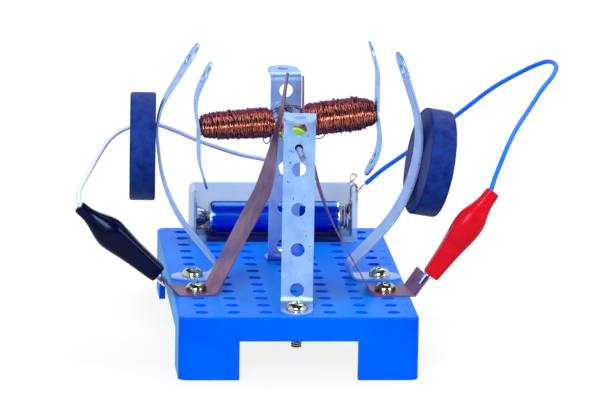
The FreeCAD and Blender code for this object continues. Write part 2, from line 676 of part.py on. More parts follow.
def windingRing(across, buildUp):
    """Rounded outline of the winding at one place along the core."""
    wide = mm("rotorWidth") / 2 + buildUp
    tall = strip + buildUp
    radius = min(tall * 0.8, wide * 0.8)
    corners = [(wide, tall), (-wide, tall), (-wide, -tall), (wide, -tall)]
    edges = []
    for index in range(4):
        here = Vec(across, rotorY + corners[index][0], axisHeight + corners[index][1])
        nextOne = corners[(index + 1) % 4]
        there = Vec(across, rotorY + nextOne[0], axisHeight + nextOne[1])
        afterOne = corners[(index + 2) % 4]
        after = Vec(across, rotorY + afterOne[0], axisHeight + afterOne[1])
        way = (there - here).normalize()
        turn = (after - there).normalize()
        edges.append(Part.LineSegment(here + way * radius, there - way * radius).toShape())
        arcMiddle = there + (turn - way) * (radius * (1 - math.sqrt(0.5)))
        edges.append(Part.Arc(there - way * radius, arcMiddle, there + turn * radius).toShape())
    return Part.Wire(edges)


def makeWindings():
    """A coil on each half of the core, thinner at both its ends."""
    items = []
    thin = mm("windingEndBuildUp")
    first = mm("windingStart")
    last = mm("armReach") - strip / 2 - mm("windingEndGap")
    taper = mm("windingTaper")
    for side, sign in (("left", -1), ("right", 1)):
        name = side + "_winding"
        places = [(first, thin), (first + taper * 0.5, mm(side + "WindingInner")),
                  (last - taper, mm(side + "WindingOuter")), (last, thin)]
        rings = [windingRing(sign * place, build) for place, build in places]
        outside = feature(name + "Outside", Part.makeLoft(rings, True, True))
        width = mm("rotorWidth")
        low = Vec(min(sign * first, sign * last) - 1, rotorY - width / 2, axisHeight - strip)
        hollow = feature(name + "Inside", Part.makeBox(last - first + 2, width, 2 * strip, low))
        items.append(cut(name, outside, [hollow]))
    return items


def softRadii(points):
    """Radii of arcs that leave a tenth of the shorter run straight at each corner."""
    radii = []
    for before, corner, after in zip(points, points[1:], points[2:]):
        back = before - corner
        ahead = after - corner
        half = (math.pi - back.getAngle(ahead)) / 2
        radii.append(0.45 * min(back.Length, ahead.Length) / math.tan(half))
    return radii


def tube(name, points, diameter):
    """Round tube along straight runs joined by arcs as large as the runs allow."""
    radii = softRadii(points)
    path = Part.Wire(roundedRun(points, radii))
    ring = Part.Circle(points[0], points[1] - points[0], diameter / 2).toShape()
    solid = path.makePipeShell([Part.Wire(ring)], True, False)
    expected = math.pi * diameter ** 2 / 4 * path.Length
    print("%s: length %.1f, smallest radius %.1f, volume %.4f of section times length"
          % (name, path.Length, min(radii), solid.Volume / expected))
    return feature(name, solid)


def makeCoilLeads():
    """The bare ends of the coil, from the windings to the commutator's segments."""
    items = []
    wire = mm("coilWireDiameter")
    segmentEnd = drumMiddle + mm("commutatorLength") / 2
    rim = mm("coreRadius") + mm("segmentThickness") + wire / 2
    buildUp = strip + mm("windingEndBuildUp") - wire
    start = mm("windingStart")
    for name, sign in (("coilLeadA", 1), ("coilLeadB", -1)):
        points = [
            rotorSpot(sign * start, sign * buildUp),
            rotorSpot(sign * (start - 2), sign * buildUp),
            rotorSpot(sign * (start - 3.2), sign * (buildUp + 0.6), rotorY - 2),
            rotorSpot(sign * 1.2, sign * (rim + 0.7), segmentEnd + 2),
            rotorSpot(sign * 1.1, sign * rim, segmentEnd - 2.5),
        ]
        items.append(tube(name, points, wire))
    return group("coil_leads", items)


# ---------------------------------------------------------------- screws and nuts
def makeScrew(name, x, y, seat):
    """Domed screw with a cross recess; its head sits at the given height on the deck."""
    bearing = Vec(x, y, deck + seat)
    up = Vec(0, 0, 1)
    head = cylinder(name + "Head", "headDiameter", mm("headHeight"), bearing, up)
    dome = doc.addObject("Part::Fillet", name + "Dome")
    dome.Base = head
    doc.recompute()
    crown = edgeNames(head.Shape, lambda e: e.BoundBox.ZMin > deck + seat + 0.1
                      and e.Curve.TypeId == "Part::GeomCircle")
    radius = mm("headRound")
    dome.Edges = [(int(edge[4:]), radius, radius) for edge in crown]
    shank = cylinder(name + "Shank", "shankDiameter", mm("shankLength"),
                     bearing - up * mm("shankLength"), up)
    body = fuse(name + "Body", [dome, shank])
    slots = []
    length = mm("recessLength")
    width = mm("recessWidth")
    depth = mm("recessDepth")
    bottom = deck + seat + mm("headHeight") - depth
    for index, size in enumerate(((length, width), (width, length))):
        block = Part.makeBox(size[0], size[1], depth + 1,
                             Vec(x - size[0] / 2, y - size[1] / 2, bottom))
        slots.append(feature("%sSlot%d" % (name, index), block))
    return cut(name, body, slots)


def makeNut(name, x, y, boreText):
    """Hexagon nut under the deck."""
    prism = doc.addObject("Part::Prism", name + "Prism")
    prism.Polygon = 6
    bind(prism, "Circumradius", "nutAcross / sqrt(3)")
    bind(prism, "Height", "nutHeight")
    bottom = deck - mm("deckThickness") - mm("nutHeight")
    prism.Placement.Base = Vec(x, y, bottom)
    bore = cylinder(name + "Bore", boreText, mm("nutHeight"), Vec(x, y, bottom), Vec(0, 0, 1))
    return cut(name, prism, [bore])


def makeFasteners():
    screws = [makeScrew("screw%d" % n, *place) for n, place in enumerate(mainScrews)]
    nuts = [makeNut("nut%d" % n, x, y, "shankDiameter")
            for n, (x, y, seat) in enumerate(mainScrews)]
    flats = []
    smallNuts = []
    sink = (mm("holderScrewHead") - mm("holderScrewShank")) / 2
    top = deck + mm("holderFloor")
    for n, (x, y) in enumerate(holderScrewPlaces):
        cone = Part.makeCone(mm("holderScrewShank") / 2, mm("holderScrewHead") / 2, sink,
                             Vec(x, y, top - sink))
        shank = Part.makeCylinder(mm("holderScrewShank") / 2, mm("holderScrewLength") - sink,
                                  Vec(x, y, top - mm("holderScrewLength")))
        slot = Part.makeBox(mm("holderScrewHead"), mm("recessWidth"), sink,
                            Vec(x - mm("holderScrewHead") / 2, y - mm("recessWidth") / 2,
                                top - sink / 2))
        flats.append(feature("flatScrew%d" % n, cone.fuse(shank).removeSplitter().cut(slot)))
        smallNuts.append(makeNut("smallNut%d" % n, x, y, "holderScrewShank"))
    return [group("machine_screws", screws), group("hex_nuts", nuts),
            group("holder_screws", flats), group("holder_nuts", smallNuts)]


# ---------------------------------------------------------------- cell holder and cell
holderFront = holderRow + mm("holderForward") - mm("holderDepth") / 2
holderBack = holderFront + mm("holderDepth")
holderHalf = mm("holderLength") / 2
cellY = holderBack - mm("holderWall") - mm("cellRestGap") - mm("cellDiameter") / 2
cellZ = deck + mm("holderFloor") + mm("cellRestGap") + mm("cellDiameter") / 2
tailX = holderHalf - 3.2


def makeHolder():
    """Tray with a back, two end walls and an open front and top."""
    length = mm("holderLength")
    depth = mm("holderDepth")
    wall = mm("holderWall")
    height = mm("holderHeight")
    block = doc.addObject("Part::Box", "holderBlock")
    bind(block, "Length", "holderLength")
    bind(block, "Width", "holderDepth")
    bind(block, "Height", "holderHeight")
    block.Placement.Base = Vec(-length / 2, holderFront, deck)
    doc.recompute()
    rounded = doc.addObject("Part::Fillet", "holderCorners")
    rounded.Base = block
    radius = mm("holderCornerRadius")

    def endTop(edge):
        box = edge.BoundBox
        return box.ZMin > deck + height - 0.1 and box.YLength > depth - 0.1

    rounded.Edges = [(int(name[4:]), radius, radius) for name in edgeNames(block.Shape, endTop)]
    room = feature("holderRoom", Part.makeBox(
        length - 2 * wall, depth - wall + 1, height,
        Vec(-length / 2 + wall, holderFront - 1, deck + mm("holderFloor"))))
    tools = [room]
    sink = (mm("holderScrewHead") - mm("holderScrewShank")) / 2
    top = deck + mm("holderFloor")
    for n, (x, y) in enumerate(holderScrewPlaces):
        cone = Part.makeCone(mm("holderScrewShank") / 2, mm("holderScrewHead") / 2, sink,
                             Vec(x, y, top - sink))
        way = Part.makeCylinder(mm("holderScrewShank") / 2, 3, Vec(x, y, deck - 1))
        tools.append(feature("holderSink%d" % n, cone.fuse(way)))
    slit = Part.makeBox(mm("tailWidth"), wall + 2, mm("contactThickness"),
                        Vec(-tailX - mm("tailWidth") / 2, holderBack - wall - 1,
                            deck + mm("holderFloor")))
    tools.append(feature("holderTailSlit", slit))
    return cut("cell_holder", rounded, tools)


def makeCell():
    """Round cell on its side, its raised end to the left, and the contacts that grip it."""
    along = Vec(1, 0, 0)
    length = mm("cellLength")
    left = -length / 2 + 0.5
    can = cylinder("cell_body", "cellDiameter", length, Vec(left, cellY, cellZ), along)
    rounded = doc.addObject("Part::Fillet", "cell")
    rounded.Base = can
    doc.recompute()
    rounded.Edges = [(int(name[4:]), 0.5, 0.5) for name in
                     edgeNames(can.Shape, lambda e: e.Curve.TypeId == "Part::GeomCircle")]
    nub = cylinder("cell_cap", "cellNubDiameter", mm("cellNubLength"),
                   Vec(left - mm("cellNubLength"), cellY, cellZ), along)

    sheet = mm("contactThickness")
    high = mm("contactHeight")
    wide = mm("contactWidth")
    inside = holderHalf - mm("holderWall")
    floorTop = deck + mm("holderFloor")
    plateLow = Vec(-inside, cellY - wide / 2, floorTop)
    plate = Part.makeBox(sheet, wide, high, plateLow)
    dimpleLength = inside - (-left + mm("cellNubLength")) - 0.1
    dimple = Part.makeCone(mm("contactConeFoot") / 2, mm("contactConeTip") / 2, dimpleLength,
                           Vec(-inside, cellY, cellZ), along)
    tailLow = Vec(-inside, holderBack - mm("holderWall") - 0.6, floorTop)
    foot = Part.makeBox(inside - tailX + mm("tailWidth") / 2, 0.6, sheet, tailLow)
    side = Part.makeBox(sheet, holderBack - mm("holderWall") - cellY - wide / 2, sheet * 4,
                        Vec(-inside, cellY + wide / 2, floorTop))
    tongue = Part.makeBox(mm("tailWidth"), mm("holderWall") + mm("lugReach"), sheet,
                          Vec(-tailX - mm("tailWidth") / 2, holderBack - mm("holderWall"),
                              floorTop))
    lug = Part.makeBox(sheet, mm("lugReach") - 0.3, 4,
                       Vec(-tailX, holderBack + 0.3, floorTop))
    shape = plate
    for piece in (dimple, foot, side, tongue, lug):
        shape = shape.fuse(piece)
    positive = feature("positive_contact", shape.removeSplitter())

    right = left + length
    plateX = inside - sheet
    rings = int(mm("springRings"))
    wire = mm("springWire")
    step = (plateX - right - 0.1 - wire) / (rings - 1)
    coil = Part.makeBox(sheet, wide, high, Vec(plateX, cellY - wide / 2, floorTop))
    for index in range(rings):
        x = plateX - wire / 2 - index * step
        radius = 4.2 - index * 0.45
        coil = coil.fuse(Part.makeTorus(radius, wire / 2, Vec(x, cellY, cellZ), along))
    ramp = [Vec(plateX, cellY - 0.3, cellZ - 4.2 - 0.3), Vec(plateX, cellY - 0.3, cellZ - 3.6),
            Vec(right + 0.5, cellY - 0.3, cellZ - 2.4), Vec(right + 0.5, cellY - 0.3, cellZ - 3.2)]
    rib = Part.Face(Part.makePolygon(ramp + [ramp[0]])).extrude(Vec(0, 0.6, 0))
    over = deck + mm("holderHeight")
    riser = Part.makeBox(sheet, mm("tailWidth"), over + sheet - floorTop - high + 0.5,
                         Vec(plateX, cellY - mm("tailWidth") / 2, floorTop + high - 0.5))
    hook = Part.makeBox(mm("holderWall") + 2 * sheet, mm("tailWidth"), sheet,
                        Vec(plateX, cellY - mm("tailWidth") / 2, over))
    drop = mm("tailDrop")
    outer = Part.makeBox(sheet, mm("tailWidth"), drop,
                         Vec(holderHalf, cellY - mm("tailWidth") / 2, over + sheet - drop))
    shape = coil.fuse(rib)
    for piece in (riser, hook, outer):
        shape = shape.fuse(piece)
    negative = feature("negative_contact", shape.removeSplitter())
    return [rounded, nub, positive, negative]


# ---------------------------------------------------------------- clips and leads
def clipPlacement(side):
    """Puts the clip's own frame on the tab: x along the boot, z towards the moving jaw."""
    fold, upTab, foldWay, sign = tabLine(side)
    aside = -mm(side + "ClipAside") - brushRow
    reach = mm("tabLength") + mm(side + "ClipStandoff")
    mouth = fold + upTab * reach + foldWay * (aside / foldWay.y)
    spin = FreeCAD.Rotation(Vec(0, 1, 0), -sign * mm(side + "TabRise"))
    if sign > 0:
        facing = FreeCAD.Rotation(Vec(1, 0, 0), 180)
    else:
        facing = FreeCAD.Rotation(Vec(0, 0, 1), 180)
    return FreeCAD.Placement(mouth, spin.multiply(facing))


def sideProfile(name, outline, widthText):
    ring = Part.makePolygon([Vec(x, 0, z) for x, z in outline + [outline[0]]])
    return extrusion(name, Part.Face(ring), Vec(0, 1, 0), widthText)


def smoothBar(name, stations):
    """Round bar about the x axis through the given (place, radius) stations."""
    points = [Vec(x, 0, r) for x, r in stations]
    first, last = stations[0], stations[-1]
    edges = roundedRun(points, softRadii(points)) + [
        Part.LineSegment(Vec(last[0], 0, last[1]), Vec(last[0], 0, 0)).toShape(),
        Part.LineSegment(Vec(last[0], 0, 0), Vec(first[0], 0, 0)).toShape(),
        Part.LineSegment(Vec(first[0], 0, 0), Vec(first[0], 0, first[1])).toShape(),
    ]
    item = doc.addObject("Part::Revolution", name)
    item.Source = feature(name + "Profile", Part.Face(Part.Wire(edges)))
    item.Axis = Vec(1, 0, 0)
    item.Angle = 360
    item.Solid = True
    return item


def makeClip(side, colour):
    """Boot, fixed jaw, moving jaw, pivot and spring of one clip."""
    place = clipPlacement(side)
    bite = brushSheet / 2 + mm("clipJawGap")
    reach = mm("jawReach")
    pivot = mm("pivotDistance")
    neck = mm("bootLength")
    belly = mm("bootBellyPlace")
    wall = mm("bootWall")
    mouthRadius = mm("bootMouthRadius")
    neckRadius = mm("bootNeckRadius")
    stations = [(0, mouthRadius), (0.6 * belly, mouthRadius + 0.8),
                (belly, mm("bootBellyRadius")), (neck - 5.6, neckRadius + 0.2),
                (neck, neckRadius)]
    outer = smoothBar(colour + "BootOutside", stations)
    inner = smoothBar(colour + "BootInside", [(x, r - wall) for x, r in stations])
    boot = cut(colour + "_boot", outer, [inner])
    mid = mm("bootShift")
    doc.recompute()
    boot.Placement.Base = Vec(0, 0, mid)

    sheetWide = "jawWidth - 2 * jawSheet"
    skin = mm("jawSheet")
    crimp = neck - mm("crimpInset")
    lowerOutline = [(-reach, -bite), (-reach, -bite - 0.5), (-reach + 1.5, -bite - 0.6),
                    (1, -bite - 0.6), (pivot - 2, mid - 2), (pivot + 4, mid - 2.6),
                    (belly, mid - 2.6), (crimp - 3, mid - 1.1), (crimp, mid - 1.1), (crimp, mid),
                    (crimp - 3, mid), (belly, mid - 1.2), (pivot + 3, mid - 0.6),
                    (pivot + 1, mid + 1), (pivot - 1, mid + 1), (pivot - 3, -bite)]
    lowerInside = [(-reach + 1, -bite + 1), (-reach + 1, -bite - 0.6 + skin),
                   (1, -bite - 0.6 + skin), (pivot - 2, mid - 2 + skin),
                   (pivot + 4, mid - 2.6 + skin), (belly, mid - 2.6 + skin),
                   (crimp - 3, mid - 1.1 + skin), (crimp - 3, mid + 2), (pivot, mid + 3)]
    lower = sideProfile(colour + "JawLower", lowerOutline, "jawWidth")
    lowerRoom = sideProfile(colour + "JawLowerRoom", lowerInside, sheetWide)
    pinWay = cylinder(colour + "PinWay", "pivotDiameter", 8, Vec(pivot, -4, mid), Vec(0, 1, 0))
    fixedJaw = cut(colour + "_fixed_jaw", lower, [lowerRoom, pinWay])

    upperOutline = [(-reach, bite), (pivot - 3.4, bite), (pivot - 2.4, mid + 0.9),
                    (pivot - 3.6, mid + 1.2), (1, bite + 0.8), (-reach + 1.5, bite + 0.7),
                    (-reach, bite + 0.5)]
    leverOutline = [(pivot - 3.8, bite + 0.4), (pivot - 1.1, mid - 0.7),
                    (pivot + 1.1, mid - 0.7), (pivot + 3, mid + 0.6), (belly, mid + 2.2),
                    (belly, mid + 2.9), (pivot + 2, mid + 1.7), (pivot - 3.8, mid + 1.2)]
    front = sideProfile(colour + "JawUpper", upperOutline, "jawWidth")
    lever = sideProfile(colour + "Lever", leverOutline, "earWidth")
    whole = fuse(colour + "JawWhole", [front, lever])
    upperRoom = sideProfile(colour + "JawUpperRoom",
                            [(-reach + 1, bite - 1), (pivot - 4, bite - 1),
                             (pivot - 4, bite + 0.4), (-reach + 1, bite + 0.3)], sheetWide)
    leverRoom = sideProfile(colour + "LeverRoom",
                            [(pivot - 1.9, mid - 1.5), (pivot + 3, mid - 1.5),
                             (belly + 1, mid + 2.2), (pivot + 2, mid + 1.2),
                             (pivot - 1.9, mid + 1.2)], "earWidth - 2 * jawSheet")
    jawPinWay = cylinder(colour + "JawPinWay", "pivotDiameter + 0.1", 8,
                         Vec(pivot, -4, mid), Vec(0, 1, 0))
    movingJaw = cut(colour + "_moving_jaw", whole, [upperRoom, leverRoom, jawPinWay])

    pinStart = Vec(pivot, -mm("pivotLength") / 2, mid)
    pin = cylinder(colour + "_pivot_pin", "pivotDiameter", mm("pivotLength"), pinStart,
                   Vec(0, 1, 0))
    springStart = Vec(pivot, -mm("jawSpringWidth") / 2, mid)
    wide = mm("jawSpringWidth")
    coil = cylinder(colour + "SpringCoil", "springDiameter", wide, springStart, Vec(0, 1, 0))
    eye = cylinder(colour + "SpringEye", "pivotDiameter", wide, springStart, Vec(0, 1, 0))
    spring = cut(colour + "_jaw_spring", coil, [eye])
    doc.recompute()
    pieces = [boot, fixedJaw, movingJaw, pin, spring]
    for piece in pieces:
        piece.Placement = place.multiply(piece.Placement)
    print("%s clip: pivot at %s" % (colour, place.multVec(Vec(pivot, 0, mid))))
    return pieces


def bootSpot(side, along, up):
    """A point in a boot, from its mouth along its axis and off the axis in the clip's plane."""
    return clipPlacement(side).multVec(Vec(along, 0, mm("bootShift") + up))


# The leads' routes are chosen by hand; both end at a crimp inside a boot.
blueRoute = [(28.3, 50.85, 36.6), (31.5, 50.8, 39.2), (35.8, 50.4, 43.1), (41.5, 49, 47.5),
             (48.1, 46, 53.1), (55.7, 42, 60.3), (62.6, 37.5, 67), (69.8, 32, 74.4), (77.1, 26, 80.4),
             (82.3, 21, 84.3), (86.3, 16, 86.3), (88.7, 10.5, 85.5), (87.3, 5, 82.9),
             (83.2, 0, 80.2), (77.9, -7.5, 75.4), (72.8, -16, 70.8), (68.8, -24, 66.2),
             (65.8, -30.2, 61.3), (63.7, -33.8, 57.5)]
whiteRoute = [(-tailX + 0.4, 60, 24), (-18.4, 60, 24), (-12, 61.2, 25), (-5.5, 62, 27.5),
              (0, 62, 32), (2.5, 60, 38), (1.5, 56, 43.5), (-2.6, 51, 46.6), (-11, 44.5, 49.2),
              (-19, 38, 52.9), (-26.7, 31.5, 56.8), (-34.3, 25, 61.3), (-42.1, 18, 65.3),
              (-47.9, 12.5, 65.4), (-53.6, 6.5, 64.5), (-58.4, -1.5, 62.5), (-61.8, -10.5, 59.4),
              (-64.8, -18.5, 56.1), (-66.9, -24.2, 53.4), (-67.9, -27.9, 50.9)]
neckSpots = {"right": [(0.2, -0.9), (-3.1, 0)], "left": [(0.2, 0.5), (-3.2, 0)]}


def makeLeads():
    diameter = mm("leadDiameter")
    items = []
    for name, route, side in (("blue_lead", blueRoute, "right"), ("white_lead", whiteRoute, "left")):
        points = [Vec(*spot) for spot in route]
        neck = mm("bootLength")
        points += [bootSpot(side, neck + beyond, off) for beyond, off in neckSpots[side]]
        points.append(bootSpot(side, neck - mm("crimpInset"), 0))
        items.append(tube(name, points, diameter))
    return items


# ---------------------------------------------------------------- the whole model
nodes = [makeBase()]
nodes.append(makeUpright("front", frontPlane, -1))
nodes.append(makeUpright("rear", rearPlane, 1))
for whichSide in ("left", "right"):
    nodes.append(makePoleStrip(whichSide))
    nodes.append(makeMagnet(whichSide))
    nodes.append(makeBrush(whichSide))
nodes += makeShaftGroup()
turning = makeSegments()
tilted = makeCoreStrips() + makeWindings() + [makeCoilLeads()]
doc.recompute()
for piece in tilted:
    turned(piece, onAxis(rotorY), Vec(0, 1, 0), -mm("rotorAngle"))
nodes += turning + tilted
nodes += makeFasteners()
nodes.append(makeHolder())
nodes += makeCell()
nodes += makeClip("left", "black")
nodes += makeClip("right", "red")
nodes += makeLeads()
doc.recompute()

for item in doc.Objects:
    if "Invalid" in item.State or "Error" in item.State:
        raise RuntimeError("%s failed: %s" % (item.Name, item.State))

for item in nodes:
    item.Label = item.Name
    shape = item.Shape
    if shape.isNull() or not shape.isValid() or not shape.Solids:
        raise RuntimeError("%s has no valid solid" % item.Label)
    shape.exportStep("parts/%s.step" % item.Label)
    print("%-18s %2d solids %10.2f mm3" % (item.Label, len(shape.Solids), shape.Volume))
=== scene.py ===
import bmesh
import bpy
import math
import numpy as np
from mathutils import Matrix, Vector


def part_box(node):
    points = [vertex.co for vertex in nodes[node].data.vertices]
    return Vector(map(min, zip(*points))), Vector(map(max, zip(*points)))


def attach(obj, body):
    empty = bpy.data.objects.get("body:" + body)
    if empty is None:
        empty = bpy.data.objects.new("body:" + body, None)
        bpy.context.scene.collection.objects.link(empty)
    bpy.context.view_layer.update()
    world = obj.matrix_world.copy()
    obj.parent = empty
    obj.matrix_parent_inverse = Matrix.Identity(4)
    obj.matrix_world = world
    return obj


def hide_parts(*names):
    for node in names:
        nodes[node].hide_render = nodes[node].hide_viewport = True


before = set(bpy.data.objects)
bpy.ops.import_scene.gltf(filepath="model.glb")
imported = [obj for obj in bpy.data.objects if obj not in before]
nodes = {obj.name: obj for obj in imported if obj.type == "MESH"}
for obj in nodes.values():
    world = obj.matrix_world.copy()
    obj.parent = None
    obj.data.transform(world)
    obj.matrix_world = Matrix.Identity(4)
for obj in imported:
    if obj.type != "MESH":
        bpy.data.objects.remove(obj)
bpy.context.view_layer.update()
mm = 0.001
print("frame loaded:", len(nodes), "nodes")


def addObject(name, data):
    piece = bpy.data.objects.new(name, data)
    bpy.context.scene.collection.objects.link(piece)
    return piece


# ---- camera
cameraSettings = {
    "target": (4.87, 0, 42.36), "distance": 1745, "azimuth": -4.59, "elevation": 11.66,
    "roll": 1.02, "lens": 325.56, "sensor": 36, "clipEnd": 20,
}


def placeCamera(s):
    # back = direction from the target to the camera, from azimuth and elevation; right and up
    # are at right angles to it and then turned by the roll
    a, e, r = (math.radians(s[k]) for k in ("azimuth", "elevation", "roll"))
    back = Vector((math.sin(a) * math.cos(e), -math.cos(a) * math.cos(e), math.sin(e)))
    right = Vector((0, 0, 1)).cross(back).normalized()
    up = back.cross(right)
    right, up = right * math.cos(r) + up * math.sin(r), up * math.cos(r) - right * math.sin(r)
    camera = bpy.data.cameras.new("camera")
    camera.lens = s["lens"]
    camera.sensor_width = s["sensor"]
    camera.clip_end = s["clipEnd"]
    holder = addObject("camera", camera)
    place = Vector(s["target"]) * mm + back * s["distance"] * mm
    holder.matrix_world = [
        (right.x, up.x, back.x, place.x),
        (right.y, up.y, back.y, place.y),
        (right.z, up.z, back.z, place.z),
        (0, 0, 0, 1)]
    holder.matrix_world.transpose()
    bpy.context.scene.camera = holder


placeCamera(cameraSettings)
print("camera placed")


# ---- materials
def linear(code):
    # sRGB hex to the linear values that a socket holds
    parts = [int(code[i:i + 2], 16) / 255 for i in (1, 3, 5)]
    return [p / 12.92 if p <= 0.04045 else ((p + 0.055) / 1.055) ** 2.4 for p in parts] + [1]


def addNode(tree, kind, links=None, **settings):
    # one node with its settings; links holds values or other nodes' outputs for its inputs
    node = tree.nodes.new(kind)
    for name, value in settings.items():
        setattr(node, name, value)
    for key, value in (links or {}).items():
        if isinstance(value, bpy.types.NodeSocket):
            tree.links.new(value, node.inputs[key])
        else:
            node.inputs[key].default_value = value
    return node


def blankTree(material):
    material.use_nodes = True
    material.node_tree.nodes.clear()
    return material.node_tree


def mixColours(tree, share, first, second):
    # the sockets 6 and 7 of a Mix node are its two colours, and its output 2 is the result
    return addNode(tree, "ShaderNodeMix", {"Factor": share, 6: first, 7: second},
                   data_type="RGBA").outputs[2]


def paintedShadeZone(tree, place, near, far, reach, fade):
    # 0 below near and within reach along x, rising to 1 above far and, over fade, beyond reach; 0
    # marks the low part that gets a painted shade colour
    parts = addNode(tree, "ShaderNodeSeparateXYZ", {0: place})
    along = addNode(tree, "ShaderNodeMapRange", {
        "Value": parts.outputs["Z"], "From Min": near * mm, "From Max": far * mm})
    side = addNode(tree, "ShaderNodeMath", {0: parts.outputs["X"]}, operation="ABSOLUTE")
    side = addNode(tree, "ShaderNodeMapRange", {
        "Value": side.outputs[0], "From Min": reach * mm, "From Max": (reach + fade) * mm})
    most = addNode(tree, "ShaderNodeMath", {0: along.outputs["Result"],
                                            1: side.outputs["Result"]}, operation="MAXIMUM")
    return most.outputs[0]


# where a noise starts and ends its change from one look to the other, and how soft a speck is
noiseSpread = {"patch": (0.32, 0.68), "grain": (0.3, 0.7), "speckEdge": 0.03}


def makeFinish(name, spec):
    # One surface from plain numbers. base: the two colours that a noise of patch mm mixes;
    # grain: a finer noise in mm that moves the roughness by roughSwing and lifts the bump by
    # relief mm; stretch: how far the grain is drawn out along an axis of the object;
    # specks: (size mm, share, colour) of small spots; the low zone: a low part that has a
    # painted shade colour and the first value of alpha; shader: the shader's own fixed values
    material = bpy.data.materials.new(name)
    tree = blankTree(material)
    place = addNode(tree, "ShaderNodeTexCoord").outputs["Object"]
    patch = addNode(tree, "ShaderNodeTexNoise", {
        "Vector": place, "Scale": 1 / (spec["patch"] * mm), "Detail": 3.0, "Roughness": 0.55})
    spread = addNode(tree, "ShaderNodeMapRange", {
        "Value": patch.outputs["Fac"], "From Min": noiseSpread["patch"][0],
        "From Max": noiseSpread["patch"][1]})
    colour = mixColours(tree, spread.outputs["Result"], linear(spec["base"][0]),
                        linear(spec["base"][1]))
    if "specks" in spec:
        size, share, code = spec["specks"]
        spots = addNode(tree, "ShaderNodeTexNoise", {
            "Vector": place, "Scale": 1 / (size * mm), "Detail": 1.0})
        edge = addNode(tree, "ShaderNodeMapRange", {
            "Value": spots.outputs["Fac"], "From Min": 1 - share,
            "From Max": 1 - share + noiseSpread["speckEdge"]})
        colour = mixColours(tree, edge.outputs["Result"], colour, linear(code))
    stretched = addNode(tree, "ShaderNodeMapping", {
        "Vector": place, "Scale": spec.get("stretch", (1, 1, 1))})
    grain = addNode(tree, "ShaderNodeTexNoise", {
        "Vector": stretched.outputs["Vector"], "Scale": 1 / (spec["grain"] * mm), "Detail": 4.0})
    low = spec["roughness"] - spec["roughSwing"] / 2
    rough = addNode(tree, "ShaderNodeMapRange", {
        "Value": grain.outputs["Fac"], "From Min": noiseSpread["grain"][0],
        "From Max": noiseSpread["grain"][1], "To Min": low, "To Max": low + spec["roughSwing"]})
    bump = addNode(tree, "ShaderNodeBump", {
        "Height": grain.outputs["Fac"], "Distance": spec["relief"] * mm, "Strength": 1.0})
    values = {"Base Color": colour, "Roughness": rough.outputs["Result"],
              "Normal": bump.outputs["Normal"]}
    if "paintedShadeZone" in spec:
        share = paintedShadeZone(tree, place, *spec["paintedShadeZone"])
        alpha = addNode(tree, "ShaderNodeMapRange", {
            "Value": share, "To Min": spec["alpha"][0], "To Max": spec["alpha"][1]})
        values["Alpha"] = alpha.outputs["Result"]
        # painted shade: in the low part of the tray the colour goes to a dark shade colour, where
        # the cell keeps the light off
        values["Base Color"] = mixColours(tree, share, linear(spec["paintedShade"]), colour)
    values.update(spec.get("shader", {}))
    surface = addNode(tree, "ShaderNodeBsdfPrincipled", values)
    addNode(tree, "ShaderNodeOutputMaterial", {"Surface": surface.outputs["BSDF"]})
    return material


